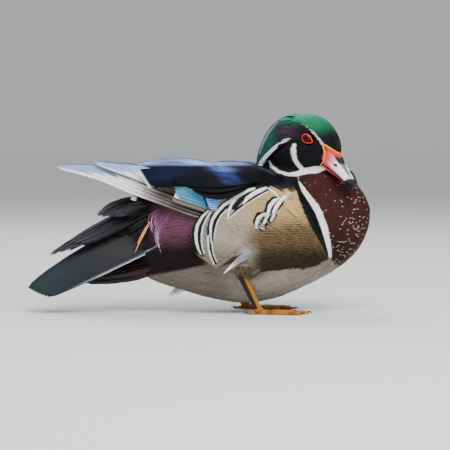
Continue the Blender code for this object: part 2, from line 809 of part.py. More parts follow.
def make_leg(word, side):
    """The feathered thigh and the scaled shank."""
    skin = finish("leg " + word, (0.75, 0.42, 0.08), 0.5)
    top = np.array((LEG_TOP[0] - leg_back(side), side * LEG_TOP[1], LEG_TOP[2]))
    foot = np.array((ANKLE[0] - leg_back(side), side * ANKLE[1], ANKLE[2]))
    points = []
    rings = 7
    around = 10
    for i in range(rings):
        f = i / (rings - 1)
        spot = top + (foot - top) * f
        radius = SHANK_RADIUS - SHANK_WAIST * math.sin(math.pi * f)
        for j in range(around):
            turn = 2 * math.pi * j / around
            points.append(spot + (radius * math.cos(turn), 0.8 * radius * math.sin(turn), 0))
    points.append(top + (0, 0, 2))
    points.append(foot - (0, 0, 1.2))
    leg = solid("leg_" + word, points, ring_faces(rings, around), skin)
    thigh = ball("thigh", top + (0, side * 0.5, 4), THIGH_RADII, None, 14, 8)
    join(leg, [thigh])
    return cut(leg, [swollen(torso), ankle_ball("room", side, GAP)])


def toe(start, heading, length, size):
    """A toe with a flat sole on the floor, joints along it and a claw."""
    width, height = size
    points = []
    steps = 5
    around = 6
    way = np.array((math.cos(heading), math.sin(heading), 0))
    across = np.array((-math.sin(heading), math.cos(heading), 0))
    for i in range(steps):
        f = i / (steps - 1)
        scale = 0.25 if i == steps - 1 else (1 - 0.45 * f) * (1 + 0.1 * math.cos(f * 4 * math.pi))
        for j in range(around):
            turn = math.pi * j / (around - 1)
            spot = np.array(start) + way * length * f + across * (width / 2 * scale * math.cos(turn))
            points.append((spot[0], spot[1], height * scale * math.sin(turn)))
    points.append(np.array((start[0], start[1], 1.0)) - way * 2)
    points.append(np.array((start[0], start[1], 0.6)) + way * (length + 2.5))
    return solid("toe", points, ring_faces(steps, around))


def web(start, toes):
    """The skin between the toes, as a thin plate."""
    outline = [(start[0] - 1.5, start[1])]
    for i, (heading, length) in enumerate(toes):
        spots = [(heading, length * WEB_REACH[0])]
        if i + 1 < len(toes):
            after, other = toes[i + 1]
            spots.append(((heading + after) / 2, min(length, other) * WEB_REACH[1]))
        outline += [(start[0] + reach * math.cos(way), start[1] + reach * math.sin(way)) for way, reach in spots]
    points = [(x, y, z) for z in (WEB_BOTTOM, WEB_TOP) for x, y in outline]
    size = len(outline)
    faces = []
    for i in range(1, size - 1):
        faces.append((0, i, i + 1))
        faces.append((size, size + i, size + i + 1))
    for i in range(size):
        k = (i + 1) % size
        faces.append((i, k, size + k, size + i))
    return solid("web", points, faces)


def make_foot(word, side):
    """Three webbed toes forward and a short one behind, flat on the floor."""
    skin = finish("foot " + word, (0.7, 0.45, 0.1), 0.55)
    middle = ANKLE[0] - leg_back(side)
    start = (middle + 1, side * ANKLE[1], 0)
    toes = [(math.radians(-side * (angle + FOOT_TURN)), length) for angle, length in zip(TOE_ANGLES, TOE_LENGTHS)]
    forms = [toe(start, heading, length, TOE_SIZE) for heading, length in toes]
    forms.append(web(start, toes))
    behind = math.pi - side * math.radians(FOOT_TURN)
    forms.append(toe((middle - 1, side * ANKLE[1], 0), behind, HIND_TOE_LENGTH, HIND_TOE_SIZE))
    return join(ankle_ball("foot_" + word, side, 0, skin), forms)


for old in list(bpy.data.objects):
    bpy.data.objects.remove(old)

torso = make_torso()
head = make_head()
neck = make_neck()
pink = finish("bill upper", (0.85, 0.32, 0.3), 0.35)
bill_upper = make_bill("bill_upper", BILL_UPPER, 14, 14, (-12, 0, 2), (45, 0, -2), pink)
bill_lower = make_bill("bill_lower", BILL_LOWER, 12, 10, (-3, 0, -11), (41, 0, -4.2),
                       finish("bill lower", (0.3, 0.2, 0.18), 0.4))
cut(bill_lower, [swollen(bill_upper)])
cut(neck, [swollen(torso), swollen(head), swollen(bill_upper), swollen(bill_lower)])
cut(torso, [swollen(head), swollen(bill_upper), swollen(bill_lower)])
cut(bill_upper, [swollen(head)])
cut(bill_lower, [swollen(head)])
for word, side in SIDES:
    along, across, above = NOSTRIL_AT
    spot = bill_place((along, side * across, above))
    turn = Matrix.Rotation(-math.radians(HEAD_TURN), 4, "Z") @ Matrix.Rotation(math.radians(BILL_SLOPE), 4, "Y")
    cut(bill_upper, [ball("nostril", spot, NOSTRIL_RADII, turn, 8, 6)])
crest = make_crest()
cut(crest, [swollen(head), swollen(torso), room_of(make_arm("arm", LEFT)), room_of(make_arm("arm", RIGHT))])
iris = finish("eye", (0.5, 0.05, 0.03), 0.1)
for word, side in SIDES:
    room = eye_ball("eye_room", side, EYE_RADIUS + GAP)
    join(head, [lid(side)])
    cut(head, [room])
    eye_ball("eye_" + word, side, EYE_RADIUS, iris)
    flank = make_flank(word, side)
    wing = make_wing(word, side)
    leg = make_leg(word, side)
    foot = make_foot(word, side)
tail = make_tail()
upper = make_upper_coverts()
under = make_under_coverts()
for piece in bpy.context.scene.objects:
    piece.data.transform(Matrix.Translation((-CENTRE_X * MM, 0, 0)))
    piece.data.shade_smooth()
    piece.data.set_sharp_from_angle(angle=math.radians(35))
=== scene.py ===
"""A drake wood duck, standing with its head turned: skin, plumage, bill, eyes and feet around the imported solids."""

import math

import bmesh
import bpy
import numpy as np
from mathutils import Matrix, Vector
from mathutils.bvhtree import BVHTree


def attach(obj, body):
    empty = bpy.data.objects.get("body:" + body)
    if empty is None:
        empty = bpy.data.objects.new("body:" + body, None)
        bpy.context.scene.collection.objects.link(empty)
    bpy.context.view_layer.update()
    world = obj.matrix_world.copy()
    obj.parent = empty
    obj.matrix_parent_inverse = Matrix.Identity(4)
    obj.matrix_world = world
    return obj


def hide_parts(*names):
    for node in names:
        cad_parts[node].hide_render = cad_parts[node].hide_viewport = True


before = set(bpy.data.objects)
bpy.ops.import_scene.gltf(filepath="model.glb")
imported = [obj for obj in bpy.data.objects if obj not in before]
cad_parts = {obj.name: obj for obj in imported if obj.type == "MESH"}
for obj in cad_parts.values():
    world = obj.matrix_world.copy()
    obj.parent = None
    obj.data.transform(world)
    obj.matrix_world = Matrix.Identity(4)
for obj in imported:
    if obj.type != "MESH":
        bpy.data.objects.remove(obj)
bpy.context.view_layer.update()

# The skin: one surface over breast, neck, head and rump, of thin hide under the coat.
# Copies of the solids and soft pads under wings and flanks are fused, smoothed and set in by the coat's depth.
MM = 0.001
RIGHT = -1
LEFT = 1
SIDES = (("right", RIGHT), ("left", LEFT))
SHIFT = 36.5  # from the middle of the body's tables to the frame's origin, in mm
TORSO = np.array((
    (-108, 100, 55, 8), (-102, 108, 46, 16), (-90, 118, 35, 25), (-72, 128, 27, 34), (-48, 137, 19.5, 42),
    (-20, 143, 12, 47), (8, 145, 8.2, 49.5), (38, 145, 12, 49), (66, 143, 23, 46), (92, 139, 36, 40),
    (110, 134, 48, 33), (123, 127, 61, 25.5), (131.5, 117, 76, 17), (135.3, 108, 90, 9),
), float)
BODY_SQUARE = 0.88
HEAD_AT = np.array((73 + SHIFT, -8, 170))
HEAD_TURN = math.radians(33)
HEAD = np.array((
    (-41, 3, -24, 8), (-36, 13, -30, 14), (-29, 21, -34, 18), (-20, 26.5, -35.5, 20.5), (-10, 29, -35.5, 21.2),
    (1, 29.4, -34, 20.6), (12, 27.6, -31, 18.8), (21, 23, -27.5, 15.8), (28.4, 16, -23, 12.4),
    (33.8, 8, -19.5, 9.4), (36.6, 0, -17.5, 6.6), (37.8, -7, -15.5, 3.4),
), float)
CREST = np.array((
    (-62, -20, -24.5, 2.6), (-59, -12.5, -25.5, 4.6), (-54, -2.5, -26.5, 7.6), (-48, 7.5, -28, 10.6),
    (-40, 16.5, -30, 13.6), (-31, 22.8, -31.5, 17), (-22, 26.8, -32, 19.6),
), float)
FLANK_TOP = np.array(((-38, 79), (-34, 86), (-27, 93), (-15, 100), (0, 107), (15, 114), (30, 117), (45, 116),
                      (62, 121), (70, 111), (80, 89), (93, 61)), float)
FLANK_BOTTOM = np.array(((-38, 73), (-33, 63), (-26, 55), (-17, 49), (0, 46), (25, 45), (53, 48), (75, 51),
                         (93, 57)), float)
WING_BOTTOM = np.array(((-60, 103), (-50, 99), (-42, 95.5), (-38, 94), (-30, 96), (-15, 103), (0, 110), (15, 117),
                        (30, 120), (45, 119), (62, 125)), float)
WING_TOP = np.array(((-60, 0.5), (8, 0.5), (24, 9), (40, 25), (62, 37)), float)
for table in (TORSO, FLANK_TOP, FLANK_BOTTOM, WING_BOTTOM, WING_TOP):
    table[:, 0] += SHIFT
SKIN_DEPTH = 1.7
SKIN_VOXEL = 1.5
# The far foot stands a little behind the near one
LEG_BACK = {RIGHT: 0, LEFT: 12}


def smooth_rows(rows, count=300):
    """A dense table on a smooth curve through the rows."""
    t = np.linspace(0, len(rows) - 1 - 1e-9, count)
    i = t.astype(int)
    f = (t - i)[:, None]
    padded = np.vstack((2 * rows[:1] - rows[1:2], rows, 2 * rows[-1:] - rows[-2:-1]))
    p0, p1, p2, p3 = (padded[i + k] for k in range(4))
    return 0.5 * (2 * p1 + (p2 - p0) * f + (2 * p0 - 5 * p1 + 4 * p2 - p3) * f**2 + (3 * p1 - p0 - 3 * p2 + p3) * f**3)


def signed_power(value, power):
    return np.sign(value) * np.abs(value) ** power


def unit(vectors):
    return vectors / np.maximum(np.linalg.norm(vectors, axis=-1, keepdims=True), 1e-9)


class Shell:
    """A rounded body through rows of (along, top, bottom, half width)."""

    def __init__(self, rows, square):
        self.rows = smooth_rows(rows)
        self.square = square

    def sizes(self, x):
        return [np.interp(x, self.rows[:, 0], self.rows[:, k]) for k in (1, 2, 3)]

    def point(self, x, angle, side):
        top, bottom, width = self.sizes(x)
        y = side * width * signed_power(np.cos(angle), self.square)
        z = (top + bottom) / 2 + (top - bottom) / 2 * signed_power(np.sin(angle), self.square)
        return np.stack(np.broadcast_arrays(x, y, z), axis=-1)

    def normal(self, x, angle, side):
        angle = np.clip(angle, -1.54, 1.54)
        low, high = self.rows[0, 0] + 1.1, self.rows[-1, 0] - 1.1
        x = np.clip(x, low, high)
        along = self.point(x + 1, angle, side) - self.point(x - 1, angle, side)
        around = self.point(x, angle + 0.02, side) - self.point(x, angle - 0.02, side)
        return unit(np.cross(around, along)) * np.asarray(side)[..., None]

    def place(self, x, angle, side, height):
        normal = self.normal(x, angle, side)
        return self.point(x, angle, side) + normal * np.asarray(height)[..., None], normal

    def angle_at(self, x, z):
        top, bottom, _ = self.sizes(x)
        sine = signed_power((z - (top + bottom) / 2) / ((top - bottom) / 2), 1 / self.square)
        return np.arcsin(np.clip(sine, -0.9999, 0.9999))

    def angle_over(self, x, y):
        _, _, width = self.sizes(x)
        return np.arccos(np.clip((y / width) ** (1 / self.square), 0, 1))


body_shell = Shell(TORSO, BODY_SQUARE)
head_shell = Shell(HEAD, BODY_SQUARE)
crest_shell = Shell(CREST, BODY_SQUARE)


def from_head(points):
    """From the head's frame (forward, across to its left, up) to the bird's, in mm."""
    points = np.asarray(points, float)
    c, s = math.cos(HEAD_TURN), math.sin(HEAD_TURN)
    turned = np.stack((points[..., 0] * c + points[..., 1] * s, points[..., 1] * c - points[..., 0] * s,
                       points[..., 2]), axis=-1)
    return turned + HEAD_AT


def to_head(points):
    points = np.asarray(points, float) - HEAD_AT
    c, s = math.cos(HEAD_TURN), math.sin(HEAD_TURN)
    return np.stack((points[..., 0] * c - points[..., 1] * s, points[..., 0] * s + points[..., 1] * c,
                     points[..., 2]), axis=-1)


def head_way(vectors):
    """Turns directions from the head's frame to the bird's."""
    return from_head(vectors) - HEAD_AT


def add_object(name, data):
    made = bpy.data.objects.new(name, data)
    bpy.context.scene.collection.objects.link(made)
    return made


def mesh_piece(name, points, loops, sizes):
    """An object from points in mm, the corners of all faces in a row, and each face's count of corners."""
    mesh = bpy.data.meshes.new(name)
    points = np.asarray(points, np.float32).reshape(-1, 3) * MM
    loops = np.asarray(loops, np.int32).ravel()
    sizes = np.asarray(sizes, np.int32).ravel()
    mesh.vertices.add(len(points))
    mesh.vertices.foreach_set("co", points.ravel())
    mesh.loops.add(len(loops))
    mesh.loops.foreach_set("vertex_index", loops)
    mesh.polygons.add(len(sizes))
    mesh.polygons.foreach_set("loop_start", np.concatenate(([0], np.cumsum(sizes)[:-1])).astype(np.int32))
    mesh.polygons.foreach_set("use_smooth", np.ones(len(sizes), bool))
    mesh.update(calc_edges=True)
    return add_object(name, mesh)


def tube_faces(rings, around):
    """The corners of quads between rings of points, and of a fan to one pole point at each end."""
    ring = (np.arange(rings - 1) * around)[:, None]
    j = np.arange(around)
    k = (j + 1) % around
    quads = np.stack((ring + j, ring + k, ring + around + k, ring + around + j), axis=-1)
    end, first = (rings - 1) * around, np.full(around, rings * around)
    fans = np.concatenate((np.stack((first, k, j), -1), np.stack((first + 1, end + j, end + k), -1)))
    sizes = np.concatenate((np.full(quads.size // 4, 4), np.full(len(fans), 3)))
    return np.concatenate((quads.ravel(), fans.ravel())), sizes


def ring_places(low, high, rings, around):
    """Where a shell's rings have their points: along, angle and side."""
    turn = 2 * np.pi * (np.arange(around) + 0.5) / around
    side = np.where(np.cos(turn) < 0, RIGHT, LEFT)
    return np.broadcast_arrays(np.linspace(low, high, rings)[:, None], np.arcsin(np.sin(turn)), side)


def shell_piece(name, shell, low, high, rings, around, inset, place):
    """A closed body through a shell's rows between two places along it."""
    points, _ = shell.place(*ring_places(low, high, rings, around), -inset)
    ends = points[[0, -1]].mean(axis=1)
    points = np.concatenate((points.reshape(-1, 3), ends))
    return mesh_piece(name, place(points), *tube_faces(rings, around))


def pad_piece(name, xs, low, high, rise, side, columns=10, depth=4.0):
    """A cushion of flesh over the body's side between two borders."""
    x = np.asarray(xs)[:, None] * np.ones(columns)
    v = np.linspace(0, 1, columns)[None] * np.ones_like(x)
    u = np.linspace(0, 1, len(xs))[:, None] * np.ones_like(x)
    angle = low(x) + (high(x) - low(x)) * v
    outer, _ = body_shell.place(x, angle, side, rise(u, v))
    inner, _ = body_shell.place(x, angle, side, -depth)
    rings = np.concatenate((outer, inner[:, ::-1]), axis=1)
    points = np.concatenate((rings.reshape(-1, 3), rings[[0, -1]].mean(axis=1)))
    return mesh_piece(name, points, *tube_faces(len(xs), 2 * columns))


def flank_low(x):
    return body_shell.angle_at(x, np.interp(x, *FLANK_BOTTOM.T))


def flank_high(x):
    return body_shell.angle_at(x, np.interp(x, *FLANK_TOP.T))


def wing_low(x):
    return body_shell.angle_at(x, np.interp(x, *WING_BOTTOM.T))


def wing_high(x):
    return body_shell.angle_over(x, np.interp(x, *WING_TOP.T))


def swell(u, v):
    return np.clip(np.minimum(np.sin(np.pi * u) * 2.2, 1) * np.minimum(np.sin(np.pi * v) * 1.6, 1), 0, 1) ** 0.6


def flesh_ball(centre, radii, turn=0.0):
    """A round of flesh, tilted about the side axis."""
    bpy.ops.object.select_all(action="DESELECT")
    bpy.ops.mesh.primitive_uv_sphere_add(segments=32, ring_count=20, radius=MM, location=(0, 0, 0))
    ball = bpy.context.object
    ball.scale = radii
    ball.rotation_euler = (0, math.radians(turn), 0)
    ball.location = np.array(centre) * MM
    bpy.ops.object.transform_apply(location=True, rotation=True, scale=True)
    return ball


def use_modifier(piece, kind, **settings):
    """Adds a modifier and applies it."""
    bpy.ops.object.select_all(action="DESELECT")
    bpy.context.view_layer.objects.active = piece
    piece.select_set(True)
    modifier = piece.modifiers.new(kind.lower(), kind)
    for key, value in settings.items():
        setattr(modifier, key, value)
    bpy.ops.object.modifier_apply(modifier=modifier.name)


def skin_of_bird():
    """Fuses the flesh into one smooth skin."""
    flesh = []
    for name in ("torso", "neck", "head"):
        copy = add_object("flesh_" + name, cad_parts[name].data.copy())
        shape = bmesh.new()
        shape.from_mesh(copy.data)
        bmesh.ops.remove_doubles(shape, verts=shape.verts, dist=1e-6)
        shape.to_mesh(copy.data)
        shape.free()
        flesh.append(copy)
    flesh.append(shell_piece("flesh_crest", crest_shell, -57, -22, 12, 20, 1.0, from_head))
    flesh.append(flesh_ball((-97 + SHIFT, 0, 108), (15, 14, 8.4), -38))
    flesh.append(flesh_ball((-108 + SHIFT, 0, 76), (17, 12, 23)))
    flesh.append(flesh_ball((-101 + SHIFT, 0, 42), (19, 12, 8.4), -14))
    for _, side in SIDES:
        flesh.append(pad_piece("flesh_flank", np.linspace(-36, 91, 30) + SHIFT, flank_low, flank_high,
                               lambda u, v: 1.2 + 3.2 * swell(u, v), side))
        flesh.append(pad_piece("flesh_wing", np.linspace(-58, 60, 30) + SHIFT, wing_low, wing_high,
                               lambda u, v: 1.0 + 3.6 * np.minimum(v * 2.2, 1) * np.minimum((1 - u) * 2.2, 1) ** 0.6,
                               side))
        flesh.append(flesh_ball((8.5 + SHIFT - LEG_BACK[side], side * 36.5, 39), (14, 6, 11)))
    bpy.ops.object.select_all(action="DESELECT")
    for piece in flesh:
        piece.select_set(True)
    bpy.context.view_layer.objects.active = flesh[0]
    bpy.ops.object.join()
    skin = bpy.context.object
    skin.name = "skin"
    skin.data.name = "skin"
    use_modifier(skin, "REMESH", mode="VOXEL", voxel_size=SKIN_VOXEL * MM, use_smooth_shade=True)
    use_modifier(skin, "SMOOTH", factor=0.6, iterations=12)
    use_modifier(skin, "DISPLACE", strength=-SKIN_DEPTH * MM, mid_level=0)
    use_modifier(skin, "SMOOTH", factor=0.5, iterations=3)
    return skin


def read_all(items, key, kind, wide=3):
    """What Blender keeps for all of a mesh's items, one row for each."""
    values = np.empty(len(items) * wide, kind)
    items.foreach_get(key, values)
    return values.reshape(-1, wide)


skin = skin_of_bird()
skin_points = read_all(skin.data.vertices, "co", np.float32).astype(float) / MM
skin_normals = read_all(skin.data.vertex_normals, "vector", np.float32).astype(float)
skin.data.calc_loop_triangles()
skin_triangles = read_all(skin.data.loop_triangles, "vertices", np.int32)
skin_tree = BVHTree.FromPolygons(skin_points.tolist(), skin_triangles.tolist())


def on_skin(points):
    """The nearest places on the skin and the smooth normals there."""
    found, _, face, _ = zip(*map(skin_tree.find_nearest, points))
    return np.array(found), unit(skin_normals[skin_triangles[list(face)]].mean(axis=1))

# The markings: what colour the plumage is at each place, the same for skin and coat.
# Crown and crest are green and violet, the face black with white lines, the breast chestnut, the belly pale.
def shade(red, green, blue):
    """A colour as the eye grades it, from 0 to 255, turned into the amounts of light that a material takes."""
    value = np.array((red, green, blue), float) / 255
    return np.where(value <= 0.04045, value / 12.92, ((value + 0.055) / 1.055) ** 2.4)


def ease(value, low, high):
    """Rises smoothly from 0 at low to 1 at high, which may be the smaller."""
    t = np.clip((value - low) / (high - low), 0, 1)
    return t * t * (3 - 2 * t)


def mix(colours, other, share):
    return colours + (np.asarray(other) - colours) * np.asarray(share)[..., None]


def layered(colours, *layers):
    """Colours with others laid over them in turn, each (colour, share)."""
    for other, share in layers:
        colours = mix(colours, other, share)
    return colours


def near_line(points, line, soft=0.35):
    """1 on a line of (place..., half width) rows, falling to 0 across its edge."""
    line = np.asarray(line, float)
    shares = np.zeros(len(points))
    for a, b in zip(line[:-1], line[1:]):
        way = b[:-1] - a[:-1]
        t = np.clip((points - a[:-1]) @ way / (way @ way), 0, 1)
        far = np.linalg.norm(points - a[:-1] - t[:, None] * way, axis=1)
        shares = np.maximum(shares, ease(far - (a[-1] + (b[-1] - a[-1]) * t), soft, -soft))
    return shares


def round_patch(a, b, centre, radii):
    """1 in the middle of a soft round patch, 0 outside it."""
    return np.exp(-((a - centre[0]) / radii[0]) ** 2 - ((b - centre[1]) / radii[1]) ** 2)


CAMERA_RISE = math.radians(3)
WHITE = shade(244, 243, 240)
BLACK = shade(9, 9, 12)
CROWN_GREEN = shade(18, 118, 78)
CROWN_TOP_SHEEN = shade(46, 150, 122)
CREST_GREEN = shade(12, 80, 58)
CREST_BLUE = shade(18, 92, 116)
VIOLET = shade(54, 34, 52)
FACE = shade(13, 10, 17)
BROW_LINE = ((25.5, 14.1, -2.5, 1.7), (22, 15.2, 3, 1.6), (17.5, 16.2, 8.5, 1.3), (12, 16.6, 13.2, 1.05),
             (4.6, 16, 17.9, 0.85), (-1, 15.8, 19.6, 0.65), (-8, 15.2, 21.5, 0.3))
CREST_LINE = ((-6, 20.7, 4.2, 0.2), (-9, 20.7, 3.8, 1.0), (-16, 20.5, 1.4, 1.5), (-25, 19, -3.9, 1.9),
              (-34, 15, -9.4, 2.3), (-42, 11, -14.6, 2.6), (-48, 8, -19.2, 2.8), (-54, 6, -24, 2.6))
CHEEK_BAR = ((-4.2, 20.7, -2.6, 2.2), (-5.2, 20.8, -6.6, 2.9), (-5.3, 20.3, -12, 2.9), (-3.8, 18.8, -18.5, 2.6),
             (-0.5, 16, -24.5, 2.6), (3.5, 13, -29, 2.6))
# The collar and the neck's lower border, as the camera sees them: along the bird and up
COLLAR = ((70.5, 150.8, 0.5), (73.4, 145.2, 1.2), (79, 140.6, 1.35), (88.5, 137.2, 1.6), (97, 137.6, 2.2),
          (106, 140.6, 3.0), (116.5, 142.1, 3.3), (121.5, 142.2, 2.8), (127.5, 140.4, 1.0))
NECK_BORDER = ((40, 60, 68, 72, 76, 80.5, 88.8, 97, 106.5, 116.5, 127.5, 140, 160),
               (146, 144, 143, 141, 138.2, 136.2, 134.4, 134.8, 137.4, 138.4, 139.2, 140, 140))


def seen_head(spot):
    """Where the camera sees a place of the head's right side, or the place that mirrors it on the left."""
    mirrored = from_head(spot * (1, 0, 1) - np.abs(spot) * (0, 1, 0))
    return np.column_stack((mirrored[:, 0], mirrored[:, 2] - np.abs(mirrored[:, 1]) * math.tan(CAMERA_RISE)))


def head_colour(points):
    """The plumage of the head, in the head's frame and alike on both sides."""
    spot = to_head(points)
    spot[:, 1] = np.abs(spot[:, 1])
    f, _, u = spot.T
    brow = np.interp(f, (-60, -30, -5, 4.6, 13.2, 19.5, 24.9, 30, 37), (22, 22, 20.6, 18.4, 12.6, 6.7, -1.2, -9, -12))
    crown = layered(
        BLACK,
        (CROWN_GREEN, ease(u - 0.2 * np.clip(f - 10, 0, 30), 1, 21)),
        # painted sheen: the crown is a lighter green along its top
        (CROWN_TOP_SHEEN, 0.65 * ease(u, 18, 29) * ease(f, -22, 0)),
        (CREST_BLUE, 0.7 * round_patch(f, u, (-24, 25), (13, 5))))
    rear = mix(FACE, VIOLET, round_patch(f, u, (-16, 11.5), (14, 9.5)))
    green = np.maximum(ease(f + 0.3 * (u - 8), -17, -38), 0.85 * ease(u, 12, 22) * ease(f, 6, -6))
    rear = mix(rear, CREST_GREEN, green)
    cheek = np.interp(f, (-60, -46.5, -37, -24.9, -15.7, -7.9, 0), (-27, -18.3, -11.6, -3.7, 1.8, 3.9, 4.4))
    rear = mix(rear, FACE, ease(u - cheek, 0.4, -0.8))
    colours = mix(rear, crown, ease(u - brow, -0.8, 0.8))
    throat = np.interp(f, (-60, -8, -1.6, 4, 15, 19, 24, 40), (-40, -36, -31, -27.2, -26, -24.4, -21.5, -19))
    colours = mix(colours, WHITE, ease(u - throat, 0.3, -0.3) * ease(spot[:, 1], 13, 9))
    for line in (BROW_LINE, CREST_LINE, CHEEK_BAR):
        colours = mix(colours, WHITE, near_line(spot, line))
    return mix(colours, WHITE, near_line(seen_head(spot), COLLAR) * (u < -12))


BREAST = shade(55, 22, 21)
BREAST_DARK = shade(32, 16, 15)
# The belly's colours are greyer than its white feathers: painted shade under the body
SHADED_BELLY = shade(148, 140, 128)
BELLY_SHADE_GREY = shade(98, 88, 80)
BUFF = shade(172, 146, 102)
BUFF_BROWN = shade(112, 86, 58)
RUMP = shade(94, 54, 72)
RUMP_DARK = shade(22, 10, 14)
BACK = shade(22, 24, 36)
UNDERTAIL = shade(20, 11, 11)
THIGH = shade(60, 48, 37)
# Heights as the camera sees them against the place along the body, for the bars before the flank and the belly's edge
BAR_HEIGHTS = (56, 61, 70, 85, 99, 106, 120, 127, 131)
BLACK_LEFT = (128.8, 125.5, 120, 111.3, 104, 101.4, 97.2, 94, 92)
WHITE_LEFT = (129, 128.2, 125.6, 121, 115.6, 111.5, 102.6, 100, 99)
WHITE_RIGHT = (132, 131.8, 130.7, 127.6, 122.4, 118.8, 108, 102.8, 99.2)
BELLY_EDGE = ((-90, -61, -18.5, 14.5, 60, 90, 122, 131, 135, 145, 175), (26, 34, 42, 49, 47, 49, 53, 54, 48, 43, 38))


def seen_height(points):
    return points[:, 2] - np.abs(points[:, 1]) * math.tan(CAMERA_RISE)


BLACK_ARCS = (
    ((13.6, 104.2, 2.2), (4.5, 97.3, 2.9), (-1.7, 88.9, 3.4), (-4.0, 79.7, 3.6), (-2.8, 69.7, 3.2), (-0.1, 62.1, 2.6),
     (3.7, 56.7, 1.2)),
    ((12.1, 101.1, 1.5), (6.7, 93.4, 1.7), (2.2, 84.3, 1.9), (1.0, 76.6, 1.9), (1.5, 69.0, 1.7), (3.3, 61.3, 1.0)),
    ((30.5, 111.0, 2.6), (21.3, 103.4, 3.0), (15.2, 95.0, 3.2), (12.1, 85.8, 3.0), (11.3, 78.1, 2.6), (11.7, 70.5, 1.9),
     (12.1, 62.8, 1.5), (14.4, 55.2, 1.3), (17.5, 49.1, 0.8)),
    ((31.2, 108.7, 2.2), (24.3, 101.1, 2.4), (19.0, 92.7, 2.2), (16.3, 85.8, 1.8), (15.2, 78.1, 1.5),
     (14.4, 72.0, 0.7)),
    ((30.5, 113.3, 1.6), (39.6, 118.7, 2.2), (48.8, 123.3, 2.6), (58.0, 124.8, 2.4), (68.0, 124.8, 2.0),
     (73.3, 121.0, 1.1), (80.2, 114.1, 0.8)),
    ((35.1, 104.2, 2.4), (41.9, 111.8, 2.6), (50.4, 117.2, 2.4), (59.5, 121.0, 2.4), (68.0, 121.4, 1.6)),
    ((31.2, 94.2, 0.5), (38.1, 101.9, 1.8), (47.3, 108.0, 1.9), (55.0, 113.3, 1.8), (62.6, 117.9, 1.7),
     (68.7, 120.6, 1.1)),
    ((67.2, 101.1, 2.2), (69.5, 108.0, 2.7), (74.1, 112.6, 2.5), (80.2, 114.9, 0.8)),
    ((72.5, 100.3, 2.8), (77.1, 104.2, 3.2), (81.7, 108.7, 2.6), (84.4, 112.6, 0.8)),
    ((57.6, 82.7, 1.8), (56.5, 90.4, 2.7), (59.5, 97.0, 2.8), (64.9, 98.6, 1.8)),
    ((62.6, 83.0, 2.4), (66.4, 88.9, 3.2), (71.8, 93.4, 2.9), (76.4, 96.5, 1.5)),
)
WHITE_ARCS = (
    ((10.2, 101.1, 0.8), (4.1, 95.0, 1.1), (-0.7, 86.6, 1.35), (-2.2, 78.1, 1.4), (-1.5, 69.7, 1.2), (0.5, 62.8, 0.9),
     (2.9, 58.2, 0.5)),
    ((12.7, 100.7, 0.6), (7.9, 92.7, 0.65), (4.7, 85.0, 0.65), (3.5, 78.1, 0.6), (3.5, 70.5, 0.6), (4.5, 63.6, 0.5),
     (6.4, 59.0, 0.4)),
    ((34.3, 112.6, 1.4), (25.1, 106.4, 1.4), (18.2, 98.8, 1.35), (14.0, 91.9, 1.3), (12.5, 85.8, 1.25),
     (12.3, 78.1, 0.9), (12.9, 69.7, 0.45)),
    ((28.2, 102.2, 0.5), (22.8, 96.5, 0.55), (19.0, 89.6, 0.55), (17.3, 83.5, 0.5), (16.3, 78.1, 0.45),
     (15.8, 73.5, 0.35)),
    ((10.0, 76.6, 0.55), (9.8, 70.5, 0.75), (10.3, 64.4, 0.75), (12.0, 57.5, 0.7), (15.5, 48.3, 0.4)),
    ((13.5, 69.7, 0.4), (14.4, 62.8, 0.45), (15.7, 56.7, 0.45), (18.6, 50.6, 0.35)),
    ((35.1, 113.0, 1.5), (41.2, 117.5, 1.8), (48.1, 121.0, 1.6), (55.7, 123.1, 0.7)),
    ((44.6, 108.0, 0.7), (48.1, 113.3, 1.6), (55.0, 118.3, 1.8), (61.8, 121.4, 1.8), (66.8, 123.4, 1.1)),
    ((30.5, 93.1, 0.35), (38.1, 100.2, 0.5), (46.5, 106.3, 0.5), (54.2, 111.7, 0.5), (61.8, 116.2, 0.5),
     (69.1, 120.2, 0.4)),
    ((29.3, 94.2, 0.6), (30.5, 101.1, 1.0), (32.8, 107.2, 1.2), (35.4, 111.0, 1.0)),
    ((69.5, 123.3, 0.8), (74.8, 119.5, 0.9), (79.8, 114.1, 0.5)),
    ((68.7, 98.8, 1.4), (70.6, 105.7, 1.8), (74.5, 110.7, 1.7), (79.4, 113.3, 0.8)),
    ((74.1, 99.6, 1.4), (77.5, 105.7, 1.9), (81.7, 111.8, 1.9), (89.6, 118.0, 0.8)),
    ((57.6, 82.3, 1.0), (57.4, 88.9, 1.4), (59.4, 94.2, 1.4), (63.6, 97.3, 1.2), (67.2, 98.0, 0.9)),
    ((62.9, 83.5, 1.0), (64.4, 88.1, 1.3), (67.2, 93.0, 1.3), (69.5, 96.0, 0.9)),
    ((71.8, 91.5, 1.0), (73.3, 94.2, 1.3), (74.8, 96.5, 1.1)),
)
THIN_ARCS = (
    ((39.6, 111.0, 1.3), (45.0, 115.6, 1.2), (50.4, 118.7, 0.9), (56.5, 122.1, 0.35)),
    ((71.4, 99.2, 0.55), (73.3, 104.9, 0.6), (77.9, 110.3, 0.55), (80.2, 112.6, 0.4)),
    ((60.3, 82.0, 0.9), (60.9, 88.1, 1.0), (64.4, 94.2, 0.9)),
    ((66.4, 86.6, 0.6), (68.7, 92.7, 0.7), (71.0, 96.5, 0.6)),
)
# Between the two rear arcs the feathers are finely lined
LINED_ZONE = ((13, 99, 1.5), (8.5, 90, 2.0), (7.2, 80, 2.4), (7.2, 70, 2.6), (9.4, 60, 2.4), (13.5, 52, 1.6))
FLANK_GREY = shade(160, 150, 128)


